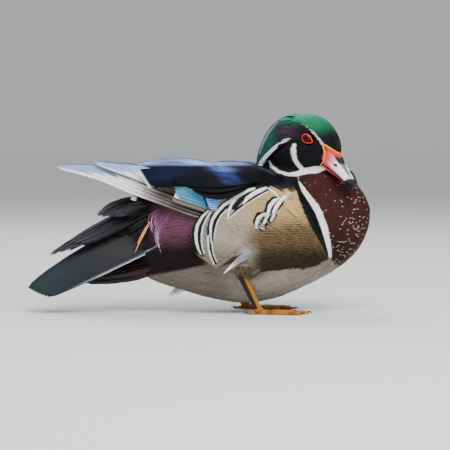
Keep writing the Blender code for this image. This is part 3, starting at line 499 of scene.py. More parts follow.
def flank_colour(points):
    """The buff side feathers with their black and white bars, on the outside of the bird."""
    x = points[:, 0]
    h = seen_height(points)
    colours = layered(
        FLANK_GREY,
        (BUFF, ease(x + 0.4 * (h - 90), 34, 66)),
        (shade(192, 158, 100), 0.6 * ease(x, 78, 92) * ease(h, 82, 100)),
        (shade(92, 74, 48), 0.9 * ease(h - 0.12 * (x - 60), 94, 74) * ease(x, 38, 62)),
        (shade(112, 100, 86), 0.8 * ease(h, 78, 54) * ease(x, 60, 40)),
        (shade(40, 31, 20), 0.9 * ease(h - 0.04 * (x - 60), 72, 54) * ease(x, 48, 66)),
        (shade(158, 156, 160), 0.9 * round_patch(x, h, (47, 61), (9, 5))))
    out = np.hypot((x - 46) / 51.5, (h - 84) / 41)
    colours = mix(colours, BLACK, ease(out, 0.97, 1.0) * ease(x, 64, 56) * ease(h, 54, 62))
    flat = np.column_stack((x, h))
    lines = 0.5 + 0.5 * np.sin((x - 0.28 * np.abs(h - 78)) * 2 * np.pi / 1.5)
    between = near_line(flat, LINED_ZONE, 0.8)
    colours = mix(colours, mix(shade(58, 54, 50), shade(168, 164, 158), lines), between)
    for arcs, colour in ((BLACK_ARCS, BLACK), (WHITE_ARCS, WHITE), (THIN_ARCS, BLACK)):
        for arc in arcs:
            colours = mix(colours, colour, near_line(flat, arc))
    return with_bars(points, colours)


def with_bars(points, colours):
    """Adds the black and the white bar that part the flank from the breast."""
    x, y, _ = points.T
    h = seen_height(points)
    black_left, white_left, white_right = (np.interp(h, BAR_HEIGHTS, row) for row in
                                           (BLACK_LEFT, WHITE_LEFT, WHITE_RIGHT))
    lateral = ease(np.abs(y), 8, 16) * ease(h, 54, 56)
    colours = mix(colours, BLACK, ease(x - black_left, -0.3, 0.3) * lateral)
    colours = mix(colours, WHITE, ease(x - white_left, -0.3, 0.3) * lateral)
    breast = mix(BREAST, BREAST_DARK, 0.75 * ease(h, 90, 66) * ease(x, 160, 135))
    breast = mix(breast, BREAST_DARK, 0.45 * ease(h, 128, 140) * ease(x, 130, 110))
    in_front = np.maximum(ease(x - white_right, -0.3, 0.3), ease(np.abs(y), 16, 8) * ease(x, 92, 100))
    return mix(colours, breast, in_front)


def on_flank(points):
    """Whether each place is on the side feathers."""
    x, y, z = points.T
    low, high = (np.interp(x, *border.T) for border in (FLANK_BOTTOM, FLANK_TOP))
    return ((x > FLANK_TOP[0, 0] - 6) & (x < FLANK_TOP[-1, 0] - 1) & (z > low - 2.5) & (z < high + 2.5)
            & (np.abs(y) > 18))


# The pale edge of the lowest tail feather shows on as far as the rump's side
TAIL_EDGE = ((-58, 57.5, 0.8), (-46, 63.5, 0.6), (-37.5, 68.5, 0.2))


def body_colour(points):
    """The plumage of neck, breast, belly, rump and back."""
    x, y, z = points.T
    h = seen_height(points)
    # Painted shade: the belly darkens toward its rear, and a little toward its upper edge in front
    belly = mix(SHADED_BELLY, BELLY_SHADE_GREY, 0.8 * ease(x, 52, 20) + 0.3 * ease(h, 34, 46) * ease(x, 20, 52))
    belly = mix(belly, THIGH, np.minimum(1.5 * round_patch(x, h, (50, 43), (14, 9)), 1) * ease(np.abs(y), 18, 28))
    rump = layered(
        RUMP_DARK,
        (RUMP, ease(h, 58, 84) * ease(x, -52, -36)),
        (shade(84, 76, 78), 0.85 * ease(h + 0.3 * x, 90, 98) * ease(x, -46, -36)),
        (UNDERTAIL, ease(x, -44, -60)),
        (shade(132, 146, 160), 0.9 * near_line(np.column_stack((x, h)), TAIL_EDGE)))
    rear = mix(rump, BACK, ease(z, 104, 116))
    edge = np.interp(x, *BELLY_EDGE)
    side = mix(rear, BUFF_BROWN, ease(x, 2, 12))
    side = mix(side, BACK, ease(z, 118, 128) * ease(x, 100, 92))
    colours = mix(with_bars(points, side), belly, ease(h - edge, 1.5, -1.5))
    sides = on_flank(points)
    colours[sides] = flank_colour(points[sides])
    return colours


NECKLINE = ((-70, -60, -48, -41, -36, -30, -24, -17, -10, -2, 7, 15, 22, 28, 34, 40),
            (-27.5, -27.5, -26.5, -24, -25.5, -29, -32.5, -35.2, -36, -35, -33, -30.5, -27, -23, -21.5, -21.5))


def plumage(points):
    """The colour at each place, whichever part of the bird it is on."""
    spot = to_head(points)
    f, a, u = spot.T
    along, height = seen_head(spot).T
    neckline = np.interp(f, *NECKLINE)
    border = np.interp(along, *NECK_BORDER)
    over = (ease(u - neckline, -0.3, 0.3) * ease(np.abs(a), 11, 7)
            + ease(height - border, -0.3, 0.3) * ease(np.abs(a), 7, 11))
    return mix(body_colour(points), head_colour(points), over * (np.abs(a) < 30) * (f > -70) * (u > -42))


def paint(piece, colours):
    """Stores a colour for each point of a piece, or one for all of them."""
    count = len(piece.data.vertices)
    layer = piece.data.color_attributes.new("Plumage", "FLOAT_COLOR", "POINT")
    rows = np.column_stack((np.broadcast_to(colours, (count, 3)), np.ones(count)))
    layer.data.foreach_set("color", rows.astype(np.float32).ravel())


def add_node(tree, kind, inputs, **settings):
    """A shader node; an input that is given another node's socket is joined to it, any other is set."""
    node = tree.nodes.new("ShaderNode" + kind)
    for key, value in settings.items():
        setattr(node, key, value)
    set_inputs(tree, node, inputs)
    return node.outputs


def set_inputs(tree, node, inputs):
    for key, value in inputs.items():
        if isinstance(value, bpy.types.NodeSocket):
            tree.links.new(value, node.inputs[key])
        else:
            node.inputs[key].default_value = value


# Noise units per metre
STREAK_SCALE = 170
GRAIN_SCALE = 900


def plumage_material(name, roughness, coat=0.0, bump=0.25, mottle=0.18, gloss=0.3, streaks=False, **surface):
    """Feather or horn: the painted colour, broken by a fine grain, or by streaks along each vane's barbs."""
    material = bpy.data.materials.new(name)
    material.use_nodes = True
    tree = material.node_tree
    colour = add_node(tree, "Attribute", {}, attribute_name="Plumage")
    source = add_node(tree, "TexCoord", {})["Object"]
    if streaks:
        vane = add_node(tree, "UVMap", {}, uv_map="Vane")
        stretched = add_node(tree, "VectorMath", {0: vane["UV"], 1: (9, 1.5, 0)}, operation="MULTIPLY")
        source = add_node(tree, "VectorMath", {0: source, 1: (STREAK_SCALE,) * 3, 2: stretched["Vector"]},
                          operation="MULTIPLY_ADD")["Vector"]
    fleck = add_node(tree, "TexNoise", {"Scale": 1 if streaks else GRAIN_SCALE, "Detail": 3, "Vector": source})
    spread = add_node(tree, "MapRange", {"From Min": 0.3, "From Max": 0.7, "To Min": 1 - mottle, "To Max": 1 + mottle,
                                         "Value": fleck["Fac"]})
    blend = add_node(tree, "VectorMath", {0: colour["Color"], "Scale": spread["Result"]}, operation="SCALE")
    raised = add_node(tree, "Bump", {"Strength": bump, "Distance": 0.0003, "Height": fleck["Fac"]})
    set_inputs(tree, tree.nodes["Principled BSDF"], {
        "Roughness": roughness, "Specular IOR Level": gloss, "Coat Weight": coat, "Coat Roughness": 0.3,
        "Base Color": blend["Vector"], "Normal": raised["Normal"], **surface})
    return material


def dress(piece, colours, material, slot, *nodes):
    """Paints a finished piece, gives it its material, and says what it rides on and stands for; slot is not used."""
    paint(piece, colours)
    piece.data.materials.append(material)
    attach(piece, "root")
    if nodes:
        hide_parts(*nodes)


skin.data.materials.clear()
dress(skin, plumage(skin_points), plumage_material("skin_down", 0.8), "body_feathers", "torso", "neck", "head")

# The coat: thousands of small feathers over head, neck, breast, belly and rump, rooted in the skin.
# Each is a thin closed vane that leaves the skin, lies back along the body and overlaps the next, made in bulk.
rng = np.random.default_rng(7)
# Shares of the unwrap that one small feather and one long one take up, and how many long ones lie in a row there
PATCH = 0.003
LONG_PATCH = 0.028
PATCHES_ACROSS = 30
SAMPLES = 420000
ROOT_DEPTH = 0.5
SMALL_PROFILE = ((-1, 0), (0, 1), (1, 0))
SMALL_ROWS = np.array((0, 0.4, 0.75, 1.0))
SMALL_WIDTHS = np.array((0.45, 0.95, 0.95, 0.35))


def unwrap_place(points):
    """Where a root falls on an unwrap of the body: along it, and round it from the keel."""
    x, y, z = points.T
    top, bottom, _ = body_shell.sizes(x)
    around = np.arctan2(y, (top + bottom) / 2 - z) / (2 * np.pi) + 0.5
    low, high = TORSO[0, 0] - 110, TORSO[-1, 0] + 25
    return np.column_stack((0.01 + 0.98 * (x - low) / (high - low), 0.01 + 0.98 * around))


def unwrap_head(points):
    """Where a root falls on an unwrap of the head: round it from the bill, and up."""
    f, a, u = to_head(points).T
    around = np.arctan2(a, f + 5) / (2 * np.pi) + 0.5
    up = np.arctan2(u + 4, np.hypot(a, f + 5)) / np.pi + 0.5
    return np.column_stack((0.01 + 0.98 * around, 0.01 + 0.98 * up))


def vane_piece(name, path, normals, halves, ridges, profile, rows, patches, patch_size=PATCH, slant=0.0):
    """Joined vanes: path and normals are (vane, row, 3), halves and ridges (vane, row), profile (across, rise)."""
    count, long = halves.shape
    wide = len(profile)
    across_share = np.array([s for s, _ in profile], float)
    rise_share = np.array([r for _, r in profile], float)
    along = unit(np.gradient(path, axis=1))
    normals = unit(normals - along * (normals * along).sum(-1, keepdims=True))
    across = np.cross(along, normals)
    slant = np.broadcast_to(slant, halves.shape)
    points = (path[:, :, None] + across[:, :, None] * (halves[:, :, None] * across_share)[..., None]
              + along[:, :, None] * (slant[:, :, None] * across_share)[..., None]
              + normals[:, :, None] * (ridges[:, :, None] * rise_share)[..., None])
    start = (np.arange(count) * long * wide)[:, None, None]
    r = (np.arange(long - 1) * wide)[None, :, None]
    c = np.arange(wide)[None, None]
    d = (c + 1) % wide
    quads = np.stack(np.broadcast_arrays(start + r + c, start + r + d, start + r + wide + d, start + r + wide + c), -1)
    roots = np.arange(wide)[::-1] + start[:, 0]
    tips = np.arange(wide) + start[:, 0] + (long - 1) * wide
    loops = np.concatenate((quads.ravel(), roots.ravel(), tips.ravel()))
    sizes = np.concatenate((np.full(quads.size // 4, 4), np.full(2 * count, wide)))
    piece = mesh_piece(name, points, loops, sizes)
    first, second = read_all(piece.data.edges, "vertices", np.int32, 2).T
    row = first // wide % long
    keen = (first % wide == second % wide) & np.isin(first % wide, np.flatnonzero(np.abs(across_share) == 1))
    keen |= (row == second // wide % long) & np.isin(row, (0, long - 1))
    piece.data.attributes.new("sharp_edge", "BOOLEAN", "EDGE").data.foreach_set("value", keen)
    s = np.broadcast_to(across_share, (count, long, wide)).ravel()
    t = np.broadcast_to(np.asarray(rows, float)[None, :, None], (count, long, wide)).ravel()
    own = np.column_stack((s * 0.5 + 0.5, t))
    corner = np.repeat(patches, long * wide, axis=0) + (own - 0.5) * patch_size
    for map_name, spots in (("Vane", own), ("OFBake", np.clip(corner, 0, 1))):
        uv_map = piece.data.uv_layers.new(name=map_name)
        uv_map.uv.foreach_set("vector", spots[loops].astype(np.float32).ravel())
    return piece, points.reshape(-1, 3), s, t


def skin_samples(count):
    """Random places all over the skin."""
    a, b, c = (skin_points[skin_triangles[:, k]] for k in range(3))
    area = np.linalg.norm(np.cross(b - a, c - a), axis=1)
    chosen = rng.choice(len(area), count, p=area / area.sum())
    u, v = rng.random((2, count))
    flip = u + v > 1
    u, v = np.where(flip, 1 - u, u), np.where(flip, 1 - v, v)
    places = a[chosen] + (b - a)[chosen] * u[:, None] + (c - a)[chosen] * v[:, None]
    return places, unit(skin_normals[skin_triangles[chosen]].mean(axis=1))


def thinned(places, spacing):
    """Which of the places to keep so that none is nearer to another than its spacing."""
    spacing = np.broadcast_to(spacing, len(places))
    size = spacing.max()
    cells = {}
    kept = []
    keys = np.floor(places / size).astype(int)
    steps = [(i, j, k) for i in (-1, 0, 1) for j in (-1, 0, 1) for k in (-1, 0, 1)]
    for n, ((i, j, k), (x, y, z), gap) in enumerate(zip(keys.tolist(), places.tolist(), spacing.tolist())):
        gap *= gap
        near = (spot for di, dj, dk in steps for spot in cells.get((i + di, j + dj, k + dk), ()))
        if all((px - x) ** 2 + (py - y) ** 2 + (pz - z) ** 2 >= gap for px, py, pz in near):
            cells.setdefault((i, j, k), []).append((x, y, z))
            kept.append(n)
    return np.array(kept)


def coat(name, pick, ways, lengths, widths, lift, colour_of, material, slot, unwrap, ridge, tone, ragged, roll, blur,
         nodes=(), spots=None, rows=SMALL_ROWS, shape=SMALL_WIDTHS):
    """A coat piece: each vane leaves the skin at a picked place and follows it along its way."""
    count = len(pick)
    roots, normals = places[pick], place_normals[pick]
    ways = unit(ways - normals * (ways * normals).sum(-1, keepdims=True))
    lengths = np.broadcast_to(lengths, count)[:, None]
    middle, middle_normals = on_skin(roots + ways * lengths * 0.5)
    end, end_normals = on_skin(roots + ways * lengths)
    lift = lift * (1 + 0.25 * rng.standard_normal(count))
    first = roots - normals * ROOT_DEPTH
    second = middle + middle_normals * (0.62 * lift)[:, None]
    third = end + end_normals * lift[:, None]
    t = rows[None, :, None]
    path = (first[:, None] * (1 - t) * (1 - 2 * t) + second[:, None] * 4 * t * (1 - t)
            + third[:, None] * t * (2 * t - 1))
    facing = unit(normals[:, None] * (1 - t) + end_normals[:, None] * t + roll * rng.standard_normal((count, 1, 3)))
    widths = np.broadcast_to(widths, count)[:, None]
    halves = widths / 2 * shape * (1 + ragged * rng.standard_normal((count, len(rows))))
    ridges = np.full(halves.shape, ridge)
    piece, points, s, along = vane_piece(name, path, facing, halves, ridges, SMALL_PROFILE, rows, unwrap(roots))
    per = len(rows) * len(SMALL_PROFILE)
    colours = colour_of(points + np.repeat(blur * rng.standard_normal((count, 3)), per, axis=0))
    if spots is not None:
        chosen, colour = spots
        share = np.repeat(chosen, per) * (np.abs(s) < 0.7) * (along > 0.84)
        colours = mix(colours, colour, share)
    colours = colours * np.repeat(1 + tone * rng.standard_normal(count), per)[:, None]
    # Painted shade: each vane is darker toward its root, where it dips under the feathers that overlap it
    colours = colours * (0.8 + 0.2 * ease(along, 0, 0.5))[:, None]
    dress(piece, np.clip(colours, 0, 1), material, slot, *nodes)


def columns(*rows):
    return np.column_stack(np.broadcast_arrays(*rows)).astype(float)


def blade_shape(rows, root=0.5, full=0.6, tip=0.2):
    """Half widths along a long feather: a narrow root, full breadth and a rounded end."""
    end = np.sqrt(np.clip(1 - (np.clip(rows - full, 0, None) / (1 - full)) ** 2, 0, 1))
    return (root + (1 - root) * np.sin(np.pi / 2 * np.minimum(rows / full, 1))) * (tip + (1 - tip) * end)


def bent_paths(roots, middles, tips, rows):
    t = rows[None, :, None]
    return roots[:, None] * (1 - t) ** 2 + middles[:, None] * 2 * t * (1 - t) + tips[:, None] * t * t


def lying_paths(roots, tips, heights, side, rows, sag=0.0):
    """Paths along the body's side from (x, z) to (x, z) at heights above it, and the normals there."""
    t = rows[None, :]
    x = roots[:, :1] + (tips[:, :1] - roots[:, :1]) * t
    z = roots[:, 1:] + (tips[:, 1:] - roots[:, 1:]) * t + sag * np.sin(np.pi * t)
    height = heights[:, :1] + (heights[:, 1:] - heights[:, :1]) * t
    angle = body_shell.angle_at(x, z)
    return body_shell.place(x, angle, side, height)


QUILL = ((-1, 0), (-0.8, 0.45), (-0.55, 0.78), (-0.3, 0.95), (-0.07, 1), (0, 1.35), (0.07, 1), (0.3, 0.95),
         (0.55, 0.78), (0.8, 0.45), (1, 0), (0.5, 0.4), (0, 0.5), (-0.5, 0.4))


def blades(name, path, normals, halves, arch, rows, colour_of, material, slot, nodes=(), ragged=0.03, profile=QUILL,
           tone=0.05, slant=0.0):
    """Long feathers as one piece; colour_of takes points, the feather's number, the place across and along it."""
    count = len(path)
    halves = halves * (1 + ragged * rng.standard_normal(halves.shape))
    ridges = arch * np.minimum(halves / halves.max(axis=1, keepdims=True) + 0.2, 1)
    normals = np.broadcast_to(normals, path.shape)
    down_rows, across_row = np.divmod(np.arange(count), PATCHES_ACROSS)
    patches = (np.column_stack((across_row, down_rows)) + 0.5) / PATCHES_ACROSS
    piece, points, s, t = vane_piece(name, path, normals, halves, ridges, profile, rows, patches, LONG_PATCH, slant)
    number = np.repeat(np.arange(count), len(rows) * len(profile))
    shades = np.repeat(1 + tone * rng.standard_normal(count), len(rows) * len(profile))
    dress(piece, np.clip(colour_of(points, number, s, t) * shades[:, None], 0, 1), material, slot, *nodes)


def in_flank(x, angle, margin):
    low, high = flank_low(x), flank_high(x)
    return (x > -38 + SHIFT + margin) & (x < 91 + SHIFT) & (angle > low + margin / 60) & (angle < high - margin / 60)


def in_wing(x, angle, margin):
    return (x > -60 + SHIFT + margin) & (x < 60 + SHIFT - margin) & (angle > wing_low(x) + margin / 60)


places, place_normals = skin_samples(SAMPLES)
head_spot = to_head(places)
head_f, head_a, head_u = head_spot.T
head_top, head_bottom, head_width = head_shell.sizes(np.clip(head_f, HEAD[0, 0], HEAD[-1, 0]))
around_head = ((head_a / (head_width + 1.5)) ** 2
               + ((head_u - (head_top + head_bottom) / 2) / ((head_top - head_bottom) / 2 + 1.5)) ** 2)
on_head = (around_head < 1.1) & (head_f > -43)
on_crest = (head_f <= -43) & (head_f > -66) & (head_u > -28) & (np.abs(head_a) < 14)
in_bill = (head_f > 27) & (head_u < -7) & (head_u > -25) & (np.abs(head_a) < 9)
eye_spot = np.array((10.9, 17, 3.9))
near_eye = np.zeros(len(places), bool)
for _, side in SIDES:
    near_eye |= np.linalg.norm((head_spot - eye_spot * (1, side, 1)) * (0.85, 0.3, 1), axis=1) < 5.2

# Head and neck feathers are the smallest
head_pick = np.flatnonzero((on_head | on_crest) & ~in_bill & ~near_eye)
head_gap = 0.9 + 0.25 * ease(head_f[head_pick], 15, -20)
head_pick = head_pick[thinned(places[head_pick], head_gap)]
back_from_bill = -head_f[head_pick]
ways = head_way(columns(-1, 0, -0.25 - 0.5 * ease(back_from_bill, 0, 40)))
size = ease(back_from_bill, -30, 25)
silky = plumage_material("head_feathers", 0.5, mottle=0.12, gloss=0.12, bump=0.1, streaks=True)
coat("head_coat", head_pick, ways, 3.0 + 3.2 * size, 1.15 + 0.45 * size, 0.6, plumage, silky, "head_feathers",
     unwrap_head, ridge=0.09, tone=0.05, ragged=0.04, roll=0.02, blur=0.08)

body_x, body_y, body_z = places.T
body_height = seen_height(places)
body_side = np.where(body_y < 0, RIGHT, LEFT)
body_angle = body_shell.angle_at(np.clip(body_x, TORSO[0, 0], TORSO[-1, 0]), body_z)
covered = in_flank(body_x, body_angle, 8) | in_wing(body_x, body_angle, 8)
body_pick = np.flatnonzero(~on_head & ~on_crest & ~in_bill & ~covered & (body_x > TORSO[0, 0] - 16))
from_head_middle = np.linalg.norm(places - HEAD_AT, axis=1)
shrink = ease(from_head_middle[body_pick], 75, 48)
# No feather grows where the near shank comes out of the thigh
leg_top, leg_way = np.array((44.5, 40.5, 37.0)), np.array((15, -7, -31.5))
from_leg_top = places[body_pick] * (1, RIGHT, 1) - leg_top
down_leg = np.clip(from_leg_top @ leg_way / (leg_way @ leg_way), 0.15, 1)
by_leg = np.linalg.norm(from_leg_top - down_leg[:, None] * leg_way, axis=1) < 6.5
body_pick = body_pick[~by_leg]
shrink = shrink[~by_leg]
body_gap = 1.62 - 0.4 * shrink + 0.25 * ease(body_x[body_pick], 60, 0)
body_pick = body_pick[thinned(places[body_pick], body_gap)]
belly_line = np.interp(body_x[body_pick], *BELLY_EDGE)
zone = np.where(body_x[body_pick] > 96, 0, np.where(body_height[body_pick] < belly_line + 2, 1, 2))
down = plumage_material("body_feathers", 0.7, gloss=0.15, bump=0.1, streaks=True)
for number, (name, length, breadth, lift, fall, tone, roll) in enumerate((
        ("breast_coat", 8.0, 2.5, 0.8, -0.45, 0.05, 0.03), ("belly_coat", 11.5, 2.6, 1.0, -0.2, 0.05, 0.03),
        ("rump_coat", 14.0, 1.9, 1.2, -0.3, 0.12, 0.06))):
    pick = body_pick[zone == number]
    height = body_height[pick]
    shrink = ease(from_head_middle[pick], 75, 48)
    chance = 0.015 + 0.2 * ease(body_x[pick], 132, 162) + 0.2 * ease(height, 85, 58) * ease(body_x[pick], 125, 145)
    bars = np.interp(height, BAR_HEIGHTS, WHITE_RIGHT)
    spotted = (number == 0) & (rng.random(len(pick)) < chance) & (height < 147) & (body_x[pick] > bars + 8)
    coat(name, pick, np.array((-1.0, 0.0, fall)), length * (1 - 0.4 * shrink), breadth * (1 - 0.4 * shrink),
         lift * (1 - 0.3 * shrink), plumage, down, "body_feathers", unwrap_place, ridge=0.1, tone=tone, ragged=0.05,
         roll=roll, blur=0.12, spots=(spotted, shade(232, 214, 206)))

# The bars between breast and flank get shorter, closer feathers, so that their edges stay clean
in_front = np.flatnonzero((body_x > 84) & (body_height > 50) & (body_height < 134) & (np.abs(body_y) > 10))
black_edge, white_edge = (np.interp(body_height[in_front], BAR_HEIGHTS, row) for row in (BLACK_LEFT, WHITE_RIGHT))
in_front = in_front[(body_x[in_front] > black_edge - 3) & (body_x[in_front] < white_edge + 4.5)]
in_front = in_front[thinned(places[in_front], 1.15)]
coat("bar_coat", in_front, np.array((-1.0, 0.0, -0.5)), 6.5, 1.7, 1.5, plumage, down, "body_feathers", unwrap_place,
     ridge=0.08, tone=0.03, ragged=0.04, roll=0.02, blur=0.0, rows=np.linspace(0, 1, 8),
     shape=np.array((0.5, 0.8, 0.95, 1, 1, 0.9, 0.7, 0.3)))

# The bill: two horny halves with a soft skin at the root, a nail at the tip and an open nostril on each side.
# The upper half is red at the root, white in the middle and black on ridge and nail, with a yellow rim along the face.
BILL_AT = np.array((26.0, -14.0))
BILL_SLOPE = math.radians(46)
BILL_UPPER = np.array((
    (-9, 9.0, -5, 10.4), (-4, 9.6, -7.2, 12), (2, 8.8, -8.4, 12), (8, 7.2, -7.4, 10.9), (15, 5.2, -6.0, 9.6),
    (22, 3.6, -4.6, 8.8), (29, 2.7, -3.4, 8.4), (34, 2.3, -2.8, 8.0), (38, 1.6, -2.9, 6.2), (40.4, -0.2, -3, 3.2),
), float)
BILL_LOWER = np.array((
    (-2, -9.4, -12.2, 8.4), (8, -8.1, -10.6, 8.2), (15, -6.7, -8.8, 7.4), (22, -5.3, -7.0, 6.9), (29, -4.2, -5.6, 6.6),
    (33, -3.8, -5.0, 5.6), (36, -3.8, -4.8, 3.4),
), float)
NOSTRIL = np.array((13.5, 7.6, 2.4))
BILL_RED = shade(206, 48, 66)
BILL_PINK = shade(228, 120, 142)
BILL_WHITE = shade(240, 232, 236)
BILL_GREY = shade(120, 118, 128)
BILL_YELLOW = shade(238, 160, 36)


def from_bill(points):
    along, across, above = np.moveaxis(np.asarray(points, float), -1, 0)
    c, s = math.cos(BILL_SLOPE), math.sin(BILL_SLOPE)
    return from_head(np.stack((BILL_AT[0] + along * c + above * s, across, BILL_AT[1] - along * s + above * c), -1))


def bill_colour(spot):
    """Colours in the bill's frame: along, across and above its axis."""
    along, across, above = spot.T
    across = np.abs(across)
    colours = mix(BILL_RED, BILL_PINK, ease(along, 1, 9))
    colours = mix(colours, BILL_WHITE, ease(along, 6, 15) * ease(above, -8.5, -3.5))
    low = ease(above, -1.6 + 0.03 * along, -4.4 + 0.07 * along)
    colours = mix(colours, shade(220, 92, 108), 0.9 * low * ease(along, 39, 33))
    ridge = ease(across, 6.2 - 0.11 * along, 4.2 - 0.09 * along)
    colours = mix(colours, shade(84, 82, 92), 0.9 * ridge * ease(along, 5, 9) * ease(along, 34, 26))
    saddle = ease(across + 0.25 * np.abs(along - 8), 8.6, 7.0)
    colours = layered(
        colours,
        (BLACK, saddle * ease(along, 3.0, 4.5) * ease(along, 18, 13)),
        (BILL_GREY, 0.6 * ease(along, 29.5, 32) * ease(across, 8.2, 6)),
        (shade(4, 4, 5), ease(along + 0.02 * across ** 2, 32.2, 33.2)))
    # Painted shade: the nostril's sunk opening is dark
    hole = np.hypot((along - NOSTRIL[0]) / 2.2, (above - NOSTRIL[2]) / 1.1)
    return mix(colours, shade(64, 20, 16), ease(hole, 1.25, 0.9) * ease(across, 4, 5))


def bill_half(name, node, rows, rings, around, lift, colour_of, material):
    """One half of the bill from its rows; lift shapes the points before they are set in the head."""
    shell = Shell(rows, 0.72)
    points = lift(shell.point(*ring_places(rows[0, 0], rows[-1, 0], rings, around)))
    ends = points[[0, -1]].mean(axis=1)
    ends[1, 0] += 0.8
    points = np.concatenate((points.reshape(-1, 3), ends))
    piece = mesh_piece(name, from_bill(points), *tube_faces(rings, around))
    dress(piece, colour_of(points), material, node, node)


def upper_lift(points):
    """Raises the nostril's rim, sinks its opening, hooks the nail and grooves the cutting edge."""
    along, across, above = np.moveaxis(points, -1, 0)
    sideways = np.sign(across)
    far = np.sqrt(((along - NOSTRIL[0]) / 3.0) ** 2 + ((np.abs(across) - NOSTRIL[1]) / 3.0) ** 2
                  + ((above - NOSTRIL[2]) / 1.7) ** 2)
    dent = 1.6 * np.exp(-(far / 0.62) ** 4) - 0.35 * np.exp(-((far - 1.15) / 0.3) ** 2)
    across = across - sideways * dent
    nail = ease(along, 32.6, 33.4) * ease(np.abs(across), 6.6, 5.8)
    above = above + 0.3 * nail * np.sign(above + 0.5)
    hook = ease(along, 35, 40)
    above = above - 1.2 * hook * hook
    edge = np.exp(-((above + 0.62 * (8 - 0.14 * along)) / 0.6) ** 2)
    across = across * (1 - 0.035 * edge)
    ripple = 0.05 * np.sin(along * 5.2) * ease(above, -2, -5) * ease(along, 6, 12)
    return np.stack((along, across + sideways * ripple, above), -1)


def lower_colour(spot):
    along = spot[:, 0]
    colours = mix(shade(186, 78, 84), shade(128, 62, 70), ease(along, 4, 24))
    return mix(colours, BLACK, ease(along, 33, 37))


def horn_material(name, roughness):
    return plumage_material(name, roughness, 0.08, bump=0.12, mottle=0.07, gloss=0.18,
                            **{"Subsurface Weight": 0.08, "Subsurface Scale": 0.001})


bill_half("bill_upper_horn", "bill_upper", BILL_UPPER, 130, 120, upper_lift, bill_colour,
          horn_material("bill_horn", 0.36))
bill_half("bill_lower_horn", "bill_lower", BILL_LOWER, 60, 60, lambda points: points + (0, 0, 0.6), lower_colour,
          horn_material("bill_under_horn", 0.42))

# The yellow rim: a narrow swollen band of soft skin that parts the bill from the face on both sides.
# It starts at the mouth's corner, climbs to a point below the white brow and runs down to the forehead's tip.
RIM = np.array(((20.2, 10.6, -22.6), (22.6, 11.2, -20.6), (25.4, 12.0, -16.6), (26.9, 12.9, -12.4), (26.8, 13.7, -7.4),
                (25.4, 14.4, -1.6), (28.2, 12.6, -3.0), (31.6, 9.6, -5.6), (35.2, 6.0, -8.6), (38.0, 2.2, -11.6),
                (38.6, 0.4, -12.8)))
RIM_AROUND = 10
RIM_WIDTHS = np.array((0.45, 0.6, 0.75, 0.85, 0.9, 0.8, 0.95, 0.85, 0.75, 0.65, 0.5))


def tube_points(line, radii, around):
    """Rings of points round a line, with a pole at each end."""
    along = unit(np.gradient(line, axis=0))
    side = unit(np.cross(along, (0.3, 0.2, 1.0)))
    up = np.cross(side, along)
    turn = 2 * np.pi * np.arange(around) / around
    radii = np.asarray(radii, float).reshape(len(line), -1) * np.ones((1, 2))
    rings = (line[:, None] + side[:, None] * (np.cos(turn)[None] * radii[:, :1])[..., None]
             + up[:, None] * (np.sin(turn)[None] * radii[:, 1:])[..., None])
    return np.concatenate((rings.reshape(-1, 3), line[[0, -1]]))


def joined(name, parts):
    """One piece from several closed meshes, each (points, loops, sizes)."""
    start = 0
    points, loops, sizes = [], [], []
    for part_points, part_loops, part_sizes in parts:
        points.append(part_points)
        loops.append(part_loops + start)
        sizes.append(part_sizes)
        start += len(part_points)
    return mesh_piece(name, np.concatenate(points), np.concatenate(loops), np.concatenate(sizes))


rim_faces = bmesh.new()
rim_faces.from_mesh(skin.data)
rim_faces.verts.ensure_lookup_table()
spot = to_head(np.array([vertex.co for vertex in rim_faces.verts]) / MM)
root_skin = (spot[:, 2] < 0.2 - 0.85 * (spot[:, 0] - 25.4)) & (spot[:, 2] > -25)
root_skin &= spot[:, 0] > np.interp(spot[:, 2], (-22.6, -20.6, -16.6, -12.4, -7.4, -1.6),
                                    (20.0, 22.2, 25, 26.5, 26.4, 24.6))
outside = [vertex for vertex, inside in zip(rim_faces.verts, root_skin) if not inside]
bmesh.ops.delete(rim_faces, geom=outside, context="VERTS")
for vertex in rim_faces.verts:
    vertex.co += vertex.normal * 1.5 * MM
root_mesh = bpy.data.meshes.new("bill_root_skin")
rim_faces.to_mesh(root_mesh)
rim_faces.free()
root_piece = add_object("bill_root_skin", root_mesh)
use_modifier(root_piece, "SMOOTH", factor=0.5, iterations=4)
use_modifier(root_piece, "SOLIDIFY", thickness=1.6 * MM, offset=-1)
for layer in list(root_mesh.color_attributes):
    root_mesh.color_attributes.remove(layer)
dress(root_piece, BILL_RED, horn_material("bill_root", 0.42), "bill_upper")

rim_line = smooth_rows(np.column_stack((RIM, RIM_WIDTHS)), 70)
parts = []
for _, side in SIDES:
    line = from_head(rim_line[:, :3] * (1, side, 1))
    parts.append((tube_points(line, rim_line[:, 3], RIM_AROUND), *tube_faces(len(line), RIM_AROUND)))
rim = joined("bill_rim", parts)
dress(rim, BILL_YELLOW, horn_material("bill_rim_skin", 0.45), "bill_upper")

# The eyes: a clear dome over a deep red iris and a black pupil, set in the skull and looking slightly forward.
# A ring of bare red-orange skin, drawn to a point toward the bill, closes over the ball above and below.
EYE_AT = np.array((9.0, 15.2, 4.2))
EYE_RADIUS = 5.1
BALL_RINGS, BALL_AROUND = 60, 72
IRIS_RED = shade(112, 14, 12)
IRIS_DARK = shade(48, 6, 8)
LID_RED = shade(226, 58, 40)
EYE_LOOK = np.array((0.16, 0.985, 0.06))


